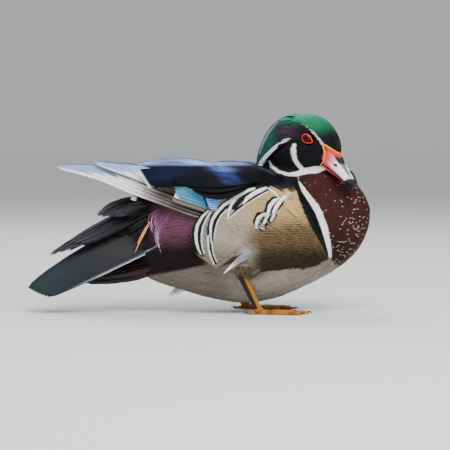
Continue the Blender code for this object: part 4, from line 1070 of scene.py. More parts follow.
def ball_points(around, rings):
    """A ball's points from pole to pole, and their turn and height."""
    polar = np.pi * (np.arange(rings) + 1) / (rings + 1)
    turn = 2 * np.pi * np.arange(around) / around
    polar, turn = np.meshgrid(polar, turn, indexing="ij")
    points = np.stack((np.sin(polar) * np.cos(turn), np.sin(polar) * np.sin(turn), np.cos(polar)), -1).reshape(-1, 3)
    return np.concatenate((points, ((0, 0, 1), (0, 0, -1))))


def eye_axes(side):
    look = unit(EYE_LOOK * (1, side, 1))
    across = unit(np.cross(look, (0, 0, 1))) * side
    return across, np.cross(across, look) * side, look


def eye_material(name):
    """Iris and pupil by the painted colour, under a wet and very smooth surface."""
    return plumage_material(name, 0.2, 0.25, bump=0.0, mottle=0.1, gloss=0.05, **{"Coat Roughness": 0.02})


for word, side in SIDES:
    across, up, look = eye_axes(side)
    unit_ball = ball_points(BALL_AROUND, BALL_RINGS)
    frame_ball = unit_ball[:, :1] * across + unit_ball[:, 1:2] * up + unit_ball[:, 2:] * look
    facing = unit_ball[:, 2]
    bulge = 1 + 0.035 * ease(facing, 0.7, 0.95)
    centre = EYE_AT * (1, side, 1)
    points = from_head(centre + frame_ball * (EYE_RADIUS * bulge)[:, None])
    piece = mesh_piece("eye_ball_" + word, points, *tube_faces(BALL_RINGS, BALL_AROUND))
    off = 1.12 * np.degrees(np.arccos(np.clip(facing, -1, 1)))
    grain = 0.12 * np.sin(np.arctan2(unit_ball[:, 1], unit_ball[:, 0]) * 23) * ease(off, 30, 40)
    colours = layered(
        IRIS_RED,
        (IRIS_DARK, np.clip(ease(off, 38, 28) * 0.6 + ease(off, 44, 56) + grain, 0, 1)),
        (shade(3, 3, 5), ease(off, 31.5, 29)),
        (shade(30, 10, 10), ease(off, 56, 62)))
    dress(piece, colours, eye_material("eye_" + word), "eye", "eye_" + word)

# The lids: a ring round each ball, and a darker one just inside it
LID_STEPS, LID_TUBE = 64, 10
LID_TURN = np.radians((0, 30, 60, 90, 120, 150, 180, 210, 240, 270, 300, 330, 360))
LID_REACH = np.array((7.5, 5.5, 4.5, 4.2, 4.3, 4.6, 4.9, 4.7, 4.4, 4.2, 4.5, 5.5, 7.5))
LID_TILT = math.radians(-28)
parts = []
colours = []
for _, side in SIDES:
    turn = 2 * np.pi * np.arange(LID_STEPS) / LID_STEPS
    reach = np.interp(turn, LID_TURN, LID_REACH)
    way = turn + LID_TILT
    for inner, thick, out, light in ((0.0, 0.45, 3.9, 1), (-0.6, 0.32, 4.25, 0.6)):
        x, z = (reach + inner) * np.cos(way), (reach + inner) * np.sin(way)
        depth = out - 0.10 * np.clip(x, 0, None) - 0.012 * x ** 2 - 0.02 * z ** 2
        spots = from_head((EYE_AT + np.column_stack((x, depth, z))) * (1, side, 1))
        along = unit(np.roll(spots, -1, axis=0) - np.roll(spots, 1, axis=0))
        out_way = head_way(np.array((0, side, 0.0)))
        flat = unit(np.cross(along, out_way))
        angles = 2 * np.pi * np.arange(LID_TUBE) / LID_TUBE
        rings = (spots[:, None] + flat[:, None] * np.cos(angles)[None, :, None] * thick
                 + out_way * np.sin(angles)[None, :, None] * thick)
        i, j = np.meshgrid(np.arange(LID_STEPS), np.arange(LID_TUBE), indexing="ij")
        k, m = (i + 1) % LID_STEPS, (j + 1) % LID_TUBE
        quads = np.stack((i * LID_TUBE + j, i * LID_TUBE + m, k * LID_TUBE + m, k * LID_TUBE + j), -1).reshape(-1, 4)
        centre = rings.mean(axis=1)
        normal = np.cross(rings[:, 1] - rings[:, 0], np.roll(rings, -1, axis=0)[:, 0] - rings[:, 0])
        if ((rings[:, 0] - centre) * normal).sum() < 0:
            quads = quads[:, ::-1]
        parts.append((rings.reshape(-1, 3), quads.ravel(), np.full(len(quads), 4)))
        colours.append(np.broadcast_to(LID_RED * light, (LID_STEPS * LID_TUBE, 3)))
dress(joined("eye_lids", parts), np.concatenate(colours), horn_material("lid_skin", 0.42), "eye")

# The crest: long silky feathers from the crown and nape that sweep back together and hang over the neck.
# They are green and violet with two white streaks; each is a narrow vane that grows out of the skull's skin.
CREST_ROWS = np.linspace(0, 1, 12)
CREST_PROFILE = ((-1, 0), (-0.4, 0.8), (0, 1), (0.4, 0.8), (1, 0), (0, 0.2))


def crest_place(f, angle, side, height):
    """A place over the crest's outline, and the way out there."""
    spot, normal = crest_shell.place(f, angle, side, height)
    return from_head(spot), head_way(normal)


crest_paths, crest_normals, crest_halves = [], [], []
CREST_LOW = ((-62, -54, -48, -42, -34, -25, -16, -6, 4), (-26, -25.5, -20.8, -16.2, -11, -5.4, 0.2, 3.4, 4))
for layer, (start, stop, count) in enumerate(((-33, -60, 26), (-29, -58, 26), (-25, -54, 26), (-21, -49, 24),
                                              (-17, -43, 24), (-12, -36, 22))):
    for _, side in SIDES:
        share = np.clip(np.linspace(0, 1, count) + rng.uniform(-0.02, 0.02, count), 0, 1)
        first = start + rng.uniform(-3, 3, count)
        last = stop + rng.uniform(-1.5, 2.5, count)
        last = np.maximum(last, np.interp(share, (0, 0.3, 0.8, 1), (-58, -61, -57, -55)))
        f = first[:, None] + (last - first)[:, None] * CREST_ROWS
        on_tuft, on_skull = np.clip(f, -61.9, -22.2), np.clip(f, -40, 30)
        low = crest_shell.angle_at(on_tuft, np.interp(f, *CREST_LOW))
        low = np.where(f > -22.2, head_shell.angle_at(on_skull, np.interp(f, *CREST_LOW)), low)
        bend = low + (1.42 - low) * (share[:, None] - 0.02)
        rise = -3.6 + 3.6 * np.minimum(1, CREST_ROWS * 2.6) ** 0.7 + 0.12 * layer - 0.7 * CREST_ROWS ** 3
        rise = rise + rng.uniform(-0.15, 0.2, count)[:, None]
        bend = np.clip(bend, -1.5, 1.53)
        spots, ways_out = crest_place(on_tuft, bend, side, rise)
        head_spots, head_out = head_shell.place(on_skull, bend, side, rise + 1.0)
        blend = ease(f, -26, -19)[..., None]
        spots = spots * (1 - blend) + from_head(head_spots) * blend
        ways_out = ways_out * (1 - blend) + head_way(head_out) * blend
        crest_paths.append(spots)
        crest_normals.append(ways_out)
        breadth = rng.uniform(1.7, 2.3, count)[:, None]
        crest_halves.append(breadth * blade_shape(CREST_ROWS, 0.4, 0.45, 0.06) * (1 - 0.35 * CREST_ROWS))


def crest_colour(points, number, s, t):
    colours = head_colour(points)
    f, a, u = to_head(points).T
    edge = ease(u, 4, 9) * ease(f, -40, -46) * ease(np.abs(a), 9, 6)
    colours = mix(colours, shade(8, 12, 12), 0.7 * edge)
    seen = seen_head(to_head(points))
    dark = near_line(seen, ((80, 195, 1), (68, 183, 2), (60, 170, 2), (57, 158, 1)), 1.2)
    colours = mix(colours, shade(6, 10, 12), dark)
    # A painted sheen: a pale lilac line just inside the crest's rear outline as the camera sees it
    sheen = near_line(seen, ((79, 190, 0.2), (70.6, 180, 0.5), (64.4, 168, 0.7), (61, 157, 0.4)), 0.7)
    return mix(colours, shade(168, 164, 200), 0.75 * sheen)


crest_silk = plumage_material("crest_silk", 0.5, mottle=0.12, gloss=0.12)
blades("crest_plumes", np.concatenate(crest_paths), np.concatenate(crest_normals), np.concatenate(crest_halves), 0.16,
       CREST_ROWS, crest_colour, crest_silk, "crest_feathers", ("crest",), profile=CREST_PROFILE, ragged=0.05)

# The flanks: long soft feathers over the side that cover the folded wing's lower edge.
# They are buff with fine dark waves, and the rear and upper ones end in bold black and white bars.
def waved_material(name):
    """Buff feathers crossed by fine waves, and by broad broken brown ones low on the front."""
    material = plumage_material(name, 0.7, mottle=0.1, gloss=0.16, bump=0.1, streaks=True)
    tree = material.node_tree
    shader = tree.nodes["Principled BSDF"]
    colour = shader.inputs["Base Color"].links[0].from_socket
    place = add_node(tree, "TexCoord", {})["Object"]
    split = add_node(tree, "SeparateXYZ", {0: place})

    def ranged(source, low, high, start, end):
        return add_node(tree, "MapRange", {"Value": source, "From Min": low, "From Max": high, "To Min": start,
                                           "To Max": end})["Result"]

    def product(first, second):
        return add_node(tree, "Math", {0: first, 1: second}, operation="MULTIPLY")[0]

    front = product(ranged(split["X"], 0.046, 0.062, 0, 1), ranged(split["Z"], 0.102, 0.090, 0, 1))
    front = product(front, ranged(split["Z"], 0.058, 0.068, 0.25, 1))
    broken = add_node(tree, "TexNoise", {"Scale": 170, "Vector": place})
    front = product(front, ranged(broken["Fac"], 0.32, 0.6, 0.2, 1))
    rear = ranged(split["X"], 0.045, 0.022, 0.3, 1)
    for size, deep, mask in ((250, 0.42, rear), (132, 0.72, front)):
        wave = add_node(tree, "TexWave", {"Scale": size, "Distortion": 5, "Detail": 2, "Detail Scale": 1.4,
                                          "Vector": place}, bands_direction="Z")
        dark = product(ranged(wave["Fac"], 0.5, 0.12, 0, deep), mask)
        colour = add_node(tree, "VectorMath", {0: colour, "Scale": ranged(dark, 0, 1, 1, 0)},
                          operation="SCALE")["Vector"]
    set_inputs(tree, shader, {"Base Color": colour})
    return material


waved = waved_material("flank_feathers")
barred = plumage_material("flank_bars", 0.6, mottle=0.06, gloss=0.2)
FLANK_ARC = smooth_rows(np.array((
    (80.5, 114), (73, 122), (60, 124.5), (46, 121.5), (32, 115.5), (19.5, 109), (8, 102), (0, 93.5), (-5.2, 82),
    (-5.4, 70), (-1.5, 60.5), (7, 54.5), (15.5, 47.8),
), float), 200)
HAIR_ROWS = np.linspace(0, 1, 6)
BAR_ROWS = np.concatenate((np.linspace(0, 0.35, 3), np.linspace(0.4, 1, 24)))
BAR_HEIGHT = ((0, 6.5, 14, 24, 34, 44, 60), (7.0, 7.6, 8.0, 6.6, 4.4, 2.8, 2.2))
BAR_PROFILE = (*((v, math.sqrt(1 - 0.85 * v * v) - 0.387) for v in np.linspace(-1, 1, 9)),
               (0.5, 0.1), (0, 0.25), (-0.5, 0.1))
for word, side in SIDES:
    pick = np.flatnonzero(in_flank(body_x, body_angle, -2) & (body_side == side) & (body_x < 127) & (body_x > -2))
    pick = pick[thinned(places[pick], 1.2)]
    lower = ease(places[pick][:, 2], 75, 55)
    higher = ease(places[pick][:, 2], 98, 112)
    ways = unit(columns(-1, 0, 0.4 - 0.7 * lower - 0.35 * higher))
    tips_at = places[pick] + 13 * ways
    tip_height = seen_height(tips_at)
    arc_rear = FLANK_ARC[FLANK_ARC[:, 0] < 60]
    inside = tips_at[:, 0] > np.interp(tip_height, arc_rear[::-1, 1], arc_rear[::-1, 0]) + 1.5
    inside &= tip_height > np.interp(tips_at[:, 0], (16, 19, 42, 50), (46, 47, 60, 45))
    pick, ways = pick[inside], ways[inside]
    coat("flank_coat_" + word, pick, ways, 13.0, 1.7, 1.7, flank_colour, waved, "flank_feathers", unwrap_place,
         ridge=0.08, tone=0.05, ragged=0.05, roll=0.03, blur=0.05, nodes=("flank_" + word,))
    tips, roots, heights = [], [], []
    for inset in (0.0, 4.5, 9.0, 13.5, 18.0, 23.0, 28.0, 34.0):
        count = int(54 * (1 - inset / 52))
        share = np.linspace(0, 1, count) if inset == 0 else np.linspace(0.06, 0.97, count) + 0.006 * (inset % 2)
        spots = FLANK_ARC[(share * (len(FLANK_ARC) - 1)).astype(int)]
        spots = spots + unit(np.array((52.0, 82.0)) - spots) * (inset + 2.0 * ease(share, 0.62, 0.8))[:, None]
        lead = unit(np.column_stack((20 + 8 * np.sin(np.pi * share), -20 + 34 * share))) * 23
        tips.append(spots)
        roots.append(spots + lead)
        over = np.interp(inset + np.array((23.0, 0.0)), *BAR_HEIGHT)
        heights.append(over - np.array((0.9, 0)) - 0.25 * (np.arange(count) % 2)[:, None])
    tips, roots, heights = (np.concatenate(rows) for rows in (tips, roots, heights))
    path, normals = lying_paths(roots, tips, heights, side, BAR_ROWS, 0.8)
    halves = np.full((len(tips), 1), 2.9) * blade_shape(BAR_ROWS, 0.5, 0.62, 0.28)
    blades("flank_bars_" + word, path, normals, halves, 0.4, BAR_ROWS, lambda points, n, s, t: flank_colour(points),
           waved, "flank_feathers", profile=BAR_PROFILE, ragged=0.02, tone=0.02)

    # Three loose pointed feathers stand off the flank's lower edge, two dark and one white, and down hides the thigh
    roots = np.array(((46.0, 64.0), (44.0, 61.0), (51.0, 62.5)))
    tips = np.array(((15.5, 50.0), (20.0, 48.5), (26.2, 44.5)))
    path, normals = lying_paths(roots, tips, np.array(((2.0, 6.4), (1.6, 6.0), (3.2, 9.0))), side, BAR_ROWS, 1.0)
    halves = np.array((3.0, 4.0, 4.4))[:, None] * (1 - BAR_ROWS) ** np.array((0.7, 0.8, 0.85))[:, None] + 0.15
    blades("loose_feathers_" + word, path, normals, halves, 0.3, BAR_ROWS, lambda points, n, s, t: np.where(
        (n < 2)[:, None], mix(shade(92, 78, 60), shade(34, 26, 20), ease(np.abs(s), 0.1, 0.5)),
        mix(shade(132, 128, 130), WHITE, ease(t, 0.45, 0.9))),
        barred, "flank_feathers", tone=0.02)
    count = 220
    across = rng.uniform(-1, 1, count)
    fall = rng.uniform(0, 1, count)
    roots = np.column_stack((50 + 11 * across, 55 - 9 * fall - 3 * across * across))
    tips = roots + np.column_stack((-5 - 3 * across, -9 + 3 * np.abs(across) + rng.uniform(-1, 1, count)))
    path, normals = lying_paths(roots, tips, columns(0.6, 2.2 + 1.2 * fall), side, HAIR_ROWS, 0.3)
    halves = rng.uniform(0.7, 1.1, count)[:, None] * (1 - HAIR_ROWS[None] ** 2) + 0.05
    blades("thigh_down_" + word, path, normals, halves, 0.1, HAIR_ROWS, lambda points, n, s, t: mix(
        THIGH, shade(120, 104, 84), 0.5 * (np.sin(n * 2.7) > 0.3)), barred, "flank_feathers", tone=0.1)

# The wings: folded along the back, black with blue and violet gloss, each in tiers that slide under one another.
# The long flight feathers have silver outer edges; the shorter ones show a teal mirror with white tips.
NIGHT = shade(9, 10, 16)
NIGHT_BLUE = shade(30, 38, 74)
LILAC_SHEEN = shade(156, 182, 246)
STONE = shade(128, 117, 110)
TEAL = shade(70, 156, 192)
AZURE = shade(92, 156, 226)
WING_ROWS = np.linspace(0, 1, 26)
EDGE_OF_BLACK = np.array(((-44.5, 124.5), (-22, 125), (-9.5, 127), (5.5, 120.5), (24, 112.5), (34, 114), (50, 122),
                          (62, 127)))


def back_colour_and_sheen(points):
    """Painted reflections: blue and violet light that the black back feathers throw back at the top and shoulder, and a
    pale lilac sheen along the top.
    """
    x = points[:, 0]
    h = seen_height(points)
    colours = mix(NIGHT, NIGHT_BLUE, 0.4 * round_patch(x, h, (-30, 141), (28, 6)))
    streak = 0.75 + 0.25 * np.sin((x + 0.55 * h) * 2 * np.pi / 3.1)
    slant = x - 0.75 * (141 - h) + 1.6 * np.sin(h * 1.9)
    violet = ease(slant, 11, 19) * ease(slant, 37, 30) * ease(h, 124.5, 130) * ease(h, 149, 144)
    colours = layered(
        colours,
        (shade(46, 52, 104), 0.8 * violet * streak),
        (shade(118, 140, 214), 0.65 * round_patch(x, h, (25, 142), (11, 3)) * streak),
        (shade(120, 190, 200), 0.4 * round_patch(x, h, (19, 145.5), (9, 1.3))))
    band = 0.45 + 0.55 * np.exp(-((x + 62) / 16) ** 2) + 0.5 * np.exp(-((x - 2) / 20) ** 2)
    # painted sheen: pale lilac along the top edge of the back and wing
    return mix(colours, LILAC_SHEEN, 0.9 * ease(h, 145.0, 148.0) * ease(x, 62, 40) * np.minimum(band, 1))


def wing_gloss(name, roughness=0.5):
    return plumage_material(name, roughness + 0.1, mottle=0.1, gloss=0.06, bump=0.1, streaks=True)


def barb_lines(s, t, length, pitch=1.6, deep=0.12):
    """Faint slanting lines where barbs part, from shaft to edge."""
    return 1 - deep * (0.5 + 0.5 * np.sin((t * length - 2.2 * np.abs(s)) * 2 * np.pi / pitch))


WING_SIDE = np.array(((-141, 11.5), (-110, 19), (-80, 28), (-48, 38), (-20, 45.2), (8, 49), (35, 50.5), (62, 50)))


def side_paths(roots, tips, outs, side, rows, sag=0.0, bow=None, dip=0.0, lean=0.36):
    """Paths seen from the side: (along, seen height) at root and tip, and how far out from the wing's side."""
    t = rows[None, :]
    x = roots[:, :1] + (tips[:, :1] - roots[:, :1]) * t
    h = roots[:, 1:] + (tips[:, 1:] - roots[:, 1:]) * t + np.reshape(sag, (-1, 1)) * np.sin(np.pi * t)
    if bow is not None:
        dense = smooth_rows(np.asarray(bow, float), 200)
        h = np.interp(-x, -dense[:, 0], dense[:, 1]) + roots[:, 1:]
    y = np.interp(x, *WING_SIDE.T) + outs[:, :1] + (outs[:, 1:] - outs[:, :1]) * t - dip * (1 - t) ** 3
    path = np.stack((x, side * y, h + y * math.tan(CAMERA_RISE)), axis=-1)
    return path, np.broadcast_to(unit(np.array((0.02, side * 0.93, lean))), path.shape)


# Lower edge of the long feathers and of the shorter group above them, from the flank to the tips
LONG_EDGE = ((8, 91), (0.9, 93.6), (-11.7, 97.8), (-27.5, 104.1), (-48.5, 112.5), (-66.4, 119.9), (-95.9, 132),
             (-122.2, 138.8), (-141, 141.6))
SHORT_EDGE = ((8, 109), (-10, 114), (-30, 119.5), (-48.5, 126.5), (-64.3, 133.3), (-85.4, 140.4), (-103, 146.0))
for word, side in SIDES:
    mirror = np.array((1, side, 1))
    gather = WING_ROWS[None] ** 5
    paths = []
    for edge, tips_at, rise, pitch, close, out in (
            (LONG_EDGE, (-140.5, -134, -124, -113, -101), 3.4, 3.7, 3.1, 0.0),
            (SHORT_EDGE, (-102.5, -95, -86, -77), 3.3, 3.4, 3.0, -3.0)):
        k = np.arange(len(tips_at))
        path, _ = side_paths(columns(8, rise + pitch * k), columns(tips_at, 0),
                             columns(out - 1.0 * k - 4, out - 1.9 * k), side, WING_ROWS, bow=edge)
        path[..., 2] -= gather * (close * k)[:, None]
        paths.append(path)
    path = np.concatenate(paths)
    normals = np.broadcast_to(unit(np.array((0.02, side * 0.85, 0.53))), (1, *path.shape[1:]))
    halves = np.full((len(path), 1), 5.3) * blade_shape(WING_ROWS, 0.75, 0.62, 0.12)

    def primary_colour(points, number, s, t):
        outer = s * side
        pale = mix(STONE, WHITE, ease(points[:, 0], -32, -60))
        fine = 0.5 + 0.5 * np.sin(outer * 9 + number)
        pale = mix(pale, pale * 0.7, fine * ease(points[:, 0], -62, -40))
        colours = layered(
            NIGHT,
            (pale, ease(outer, 0.36, 0.46)),
            # painted reflection: pale blue-lilac over the inner vane toward the tip, where the feathers face up
            (shade(150, 164, 206), ease(outer, 0.42, 0.3) * ease(t, 0.52, 0.62)),
            (NIGHT, ease(outer, 0.84, 0.92) * (number == 0) * ease(points[:, 0], -70, -40)),
            (NIGHT, 0.9 * ease(outer, 0.6, 0.72) * (number == 5)))
        return colours * barb_lines(s, t, 130, deep=0.05)[:, None]

    blades("primaries_" + word, path, normals, halves, 0.35, WING_ROWS, primary_colour,
           wing_gloss("primary_vane_" + word), "wing_feathers", ("wing_" + word,), ragged=0.01)

    # Secondaries with the teal mirror, a tucked one below, and above them the blue coverts with fine dark bars
    count = 7
    k = np.arange(count)
    path, normals = side_paths(columns(26, 95.5 + 3.5 * k),
                               columns((-25, -23, -22, -22, -23, -24, -25), 113.2 + 3.1 * k),
                               columns(-2.0, 4.0 + 0.3 * k), side, WING_ROWS, 1.0)
    tucked, _ = side_paths(columns(-14, 103), columns(-66.5, 113.8), columns(-4, -7), side, WING_ROWS, 1.0)
    path = np.concatenate((path, tucked))
    halves = np.append(np.full(count, 3.6), 2.6)[:, None] * blade_shape(WING_ROWS, 0.8, 0.75, 0.55)

    def secondary_colour(points, n, s, t):
        x, h = points[:, 0], seen_height(points)
        fine = 0.5 + 0.5 * np.sin((h + 0.36 * x) * 2 * np.pi / 1.9)
        colours = mix(STONE, STONE * 0.6, 0.7 * fine)
        green = ease(h - (113.2 - 0.357 * (x + 18)), -2.0, 2.0) * ease(x, -25.5, -22.5)
        colours = mix(colours, TEAL, green * (0.88 + 0.12 * fine))
        colours = mix(colours, shade(128, 214, 214), 0.55 * round_patch(x, h, (-8, 122), (13, 2.8)))
        flat = np.column_stack((x, h))
        colours = mix(colours, NIGHT, near_line(flat, ((-28.6, 121.6, 1.4), (-21.2, 114.2, 1.6))))
        colours = mix(colours, WHITE, near_line(flat, ((-27.2, 120.6, 1.1), (-23.5, 117.2, 1.7),
                                                       (-20.6, 114.2, 1.3))))
        colours = mix(colours, NIGHT, near_line(flat, ((4.6, 118.5, 0.9), (9.6, 105.0, 0.9))))
        own = mix(NIGHT, WHITE, ease(t, 0.9, 0.93))
        return np.where((n == count)[:, None], own, colours * barb_lines(s, t, 50, 1.4, 0.12)[:, None])

    blades("secondaries_" + word, path, normals[:1], halves, 0.3, WING_ROWS, secondary_colour,
           wing_gloss("mirror_vane_" + word, 0.4), "wing_feathers", ragged=0.01)
    count = 6
    k = np.arange(count)
    path, normals = side_paths(columns(25, 100 + 2.6 * k), columns(9.8 - 0.75 * k, 106.3 + 2.1 * k),
                               columns(-2.5, 6.8 + 0.2 * k), side, WING_ROWS, 0.4)
    halves = np.full((count, 1), 2.8) * blade_shape(WING_ROWS, 0.7, 0.8, 0.75)

    def covert_colour(points, n, s, t):
        bars = 0.5 + 0.5 * np.sin((seen_height(points) - 0.1 * points[:, 0]) * 2 * np.pi / 2.3)
        return layered(
            AZURE,
            (shade(176, 190, 248), 0.65 * ease(bars, 0.55, 0.9)),
            (NIGHT, 0.7 * ease(bars, 0.28, 0.1)),
            (NIGHT, ease(t, 0.93, 0.965)))

    blades("wing_coverts_" + word, path, normals[:1], halves, 0.3, WING_ROWS, covert_colour,
           wing_gloss("covert_vane_" + word, 0.4), "wing_feathers", ragged=0.01)

    # Tertials: the broad black feathers on top, cut off slantwise, the lowest with a white end
    roots_at = np.array(((22, 129), (20, 134), (18.5, 138), (18.5, 141)))
    angle = body_shell.angle_at(roots_at[:, 0], roots_at[:, 1])
    roots, normal = body_shell.place(roots_at[:, 0], angle, side, np.linspace(5.4, 4.2, 4))
    tips = np.array(((-56.5, 26, 140), (-58, 20, 144.5), (-54, 14.5, 147.5), (-48, 9.5, 150.0))) * mirror
    out_tips = unit(np.array(((0, 0.8, 0.55), (0, 0.6, 0.75), (0, 0.4, 0.95), (0, 0.2, 1.05))) * mirror)
    middles = (roots + tips) / 2 + normal * np.array((8.6, 8.4, 9.2, 9.6))[:, None]
    path = bent_paths(roots, middles, tips, WING_ROWS)
    t = WING_ROWS[None, :, None]
    facing = normal[:, None] * (1 - t) + out_tips[:, None] * t
    lowest, lowest_normal = side_paths(columns(30, 133.5), columns(-54.2, 132.6), columns(4.0, 5.0), side,
                                       WING_ROWS, 1.5, dip=15, lean=0.55)
    path = np.concatenate((lowest, path))
    facing = np.concatenate((lowest_normal, facing))
    halves = np.array((11.4, 8.8, 8.0, 7.6, 7.0))[:, None] * blade_shape(WING_ROWS, 0.75, 0.92, 0.95)
    slant = np.array((7.2, 6.5, 4.0, 2.0, 0.0))[:, None] * ease(WING_ROWS, 0.35, 1)[None] * -side

    def tertial_colour(points, n, s, t):
        outer = s * side
        colours = back_colour_and_sheen(points)
        colours = mix(colours, NIGHT_BLUE, 0.3 * ease(np.abs(outer - 0.1), 0.6, 0.1) * ease(t, 0.3, 0.6))
        colours = mix(colours, WHITE, ease(t - 0.99 + 0.032 * ease(outer, -1, 0.8), 0, 0.01) * (n == 0))
        return colours * barb_lines(s, t, 75, 2.0, 0.06)[:, None]

    blades("tertials_" + word, path, facing, halves, 0.6, WING_ROWS, tertial_colour,
           wing_gloss("tertial_vane_" + word), "wing_feathers", ragged=0.006, slant=slant)

    # Scapulars and shoulder: long, flat, rounded black feathers that hide the roots of all the others
    low_path, low_normal = side_paths(columns((54, 57, 60), (133, 134, 134.5)),
                                      columns((-7, -16, -26), (125.5, 129, 131.5)), columns(4, (7.6, 7.9, 8.2)),
                                      side, WING_ROWS, (-10.5, -6.0, -2.5), dip=14, lean=0.5)
    count = 15
    row, step = np.divmod(np.arange(count), 5)
    roots = np.column_stack((28 + 14 * row + 1.5 * step, 127 + 4.2 * step + 1.0 * row))
    tips = roots + columns(-44, -1.0 - 0.2 * step)
    path, normals = lying_paths(roots, tips, columns(3.4, 8.0 + 0.45 * row), side, WING_ROWS, 1.6)
    path = np.concatenate((low_path, path))
    normals = np.concatenate((low_normal, normals))
    halves = np.full((len(path), 1), 7.2) * blade_shape(WING_ROWS, 0.7, 0.5, 0.12)
    blades("scapulars_" + word, path, normals, halves, 0.25, WING_ROWS, lambda points, n, s, t: back_colour_and_sheen(points),
           wing_gloss("scapular_vane_" + word), "wing_feathers", ragged=0.01)

back_edge = np.interp(body_x, *EDGE_OF_BLACK.T)
on_back = (body_z > 118) & (body_x > -66) & (body_x < 100) & ~on_head & ~on_crest
on_back &= (body_height > back_edge + 1) & (body_x < 92)
on_back &= (body_height < np.interp(body_x, *NECK_BORDER) - 2.5) | (body_x < 60)
pick = np.flatnonzero(on_back)
pick = pick[thinned(places[pick], 1.75)]
near_head = ease(from_head_middle[pick], 70, 40)
coat("back_coat", pick, np.array((-1.0, 0.0, -0.12)), 14.0 - 7 * near_head, 3.0, 1.2, back_colour_and_sheen,
     wing_gloss("back_feathers", 0.55), "wing_feathers", unwrap_place, ridge=0.1, tone=0.04, ragged=0.04, roll=0.02,
     blur=0.35)

# The tail: a long fan of stiff feathers folded like a roof, blackish with a green and blue gloss and pale shafts.
# Soft black coverts lie over its root, brown-black ones under it, with a few hair-like plumes on the rump's side.
TAIL_ROWS = np.linspace(0, 1, 22)
TAIL_COUNT = 8
SOOT = shade(28, 30, 34)


def tail_colour(points, number, s, t):
    x, h = points[:, 0], seen_height(points)
    inner = (number % TAIL_COUNT) / (TAIL_COUNT - 1)
    outer = s * np.where(points[:, 1] < 0, RIGHT, LEFT)
    colours = mix(SOOT, shade(21, 40, 46), 0.7 * ease(x, -110, -150))
    colours = mix(colours, shade(52, 42, 40), 0.4 * round_patch(x, h, (-88, 68), (22, 12)))
    edge = ease(outer, 0.74, 0.84) * ease(outer, 1.0, 0.93) * ease(inner, 0.55, 0.8)
    colours = layered(
        colours,
        (shade(140, 158, 172), 0.75 * edge * ease(t, 0.9, 0.7)),
        (shade(16, 17, 20), 0.8 * ease(outer, 0.92, 0.98) * (inner < 0.99)),
        (shade(196, 204, 212), (inner > 0.99) * ease(outer, 0.8, 0.92) * ease(t, 0.75, 0.5)),
        (shade(14, 14, 18), 0.7 * ease(t, 0.95, 1.0)))
    return colours * barb_lines(s, t, 110, 1.8, 0.1)[:, None]


paths, normal_rows, half_rows = [], [], []
for _, side in SIDES:
    for i in range(TAIL_COUNT):
        f = i / (TAIL_COUNT - 1)
        normal = unit(np.array((0.36 - 0.1 * f, side * (0.5 + 0.4 * f), 0.75 - 0.45 * f)))
        lift = normal * 0.8 * (TAIL_COUNT - i)
        root = np.array((-56 + 17 * f, side * (2.5 + 17.5 * math.sin(f * math.pi / 2)), 92 - 22 * f))
        middle = np.array((-115 + 30 * f, side * (3.5 + 22.5 * f), 58 - 6 * f)) + lift
        tip = np.array((-172 + 22 * f**1.2, side * (2 + 23 * f), 20.5 - 3.5 * f)) + lift * 0.8
        paths.append(bent_paths(root[None], middle[None], tip[None], TAIL_ROWS)[0])
        normal_rows.append(np.broadcast_to(normal, (len(TAIL_ROWS), 3)))
        half_rows.append((7.4 - 1.0 * f) * blade_shape(TAIL_ROWS, 0.7, 0.5, 0.1))
blades("tail_fan", np.array(paths), np.array(normal_rows), np.array(half_rows), 0.25, TAIL_ROWS, tail_colour,
       plumage_material("tail_vane", 0.45, mottle=0.12, gloss=0.28, bump=0.1, streaks=True), "tail_feathers", ("tail",),
       ragged=0.015)


def soft_plumes(name, rows, normal, colour, slot, nodes=(), copies=5, spread=(5, 2.5, 4), arch=0.3, tone=0.1,
                narrow=(0.6, 0.95)):
    """Loose feathers: copies scattered about a few leading ones, each (root, bend, tip, half breadth)."""
    roots, middles, tips, breadths, facing = [], [], [], [], []
    for _, side in SIDES:
        mirror = np.array((1, side, 1))
        for root, middle, tip, breadth in rows:
            for copy in range(copies):
                shift = rng.uniform(-1, 1, 3) * np.array(spread) * (0 if copy == 0 else 1)
                short = 1 if copy == 0 else rng.uniform(0.62, 0.97)
                start = np.array(root, float)
                roots.append((start + shift * 0.5) * mirror)
                middles.append((start + (np.array(middle) - start) * short + shift) * mirror)
                tips.append((start + (np.array(tip) - start) * short + shift) * mirror)
                breadths.append(breadth * rng.uniform(*narrow))
                facing.append(unit(np.array(normal, float) * mirror + rng.normal(0, 0.1, 3)))
    path = bent_paths(np.array(roots), np.array(middles), np.array(tips), TAIL_ROWS)
    halves = np.array(breadths)[:, None] * blade_shape(TAIL_ROWS, 0.5, 0.45, 0.06)
    blades(name, path, np.array(facing)[:, None], halves, arch, TAIL_ROWS, colour, soft_black, slot, nodes,
           ragged=0.05, tone=tone)


soft_black = plumage_material("covert_feathers", 0.55, mottle=0.2, gloss=0.22, bump=0.12, streaks=True)
UPPER = (
    ((-56, 4, 106), (-96, 7, 89), (-149, 5, 57), 3.2),
    ((-56, 9, 102), (-92, 11, 85), (-138, 9, 60), 3.2),
    ((-54, 12, 98), (-86, 14, 82), (-126, 12, 65), 3.4),
    ((-50, 5, 114), (-80, 8, 113), (-101, 9, 96), 3.4),
    ((-46, 12, 110), (-74, 15, 107), (-95, 15, 96), 3.4),
    ((-44, 18, 106), (-66, 21, 102), (-84, 19, 96), 3.4),
)
VENT = (((-12, 3, 31), (-22, 4, 24), (-30, 4, 15), 1.4), ((-8, 7, 31), (-16, 8, 24), (-22, 8, 17), 1.3))
UNDER = (
    ((-48, 5, 42), (-80, 8, 33), (-110, 5, 32), 4.4),
    ((-46, 12, 46), (-78, 15, 38), (-102, 12, 36), 4.4),
    ((-40, 18, 50), (-70, 19, 42), (-92, 14, 40), 4.2),
)
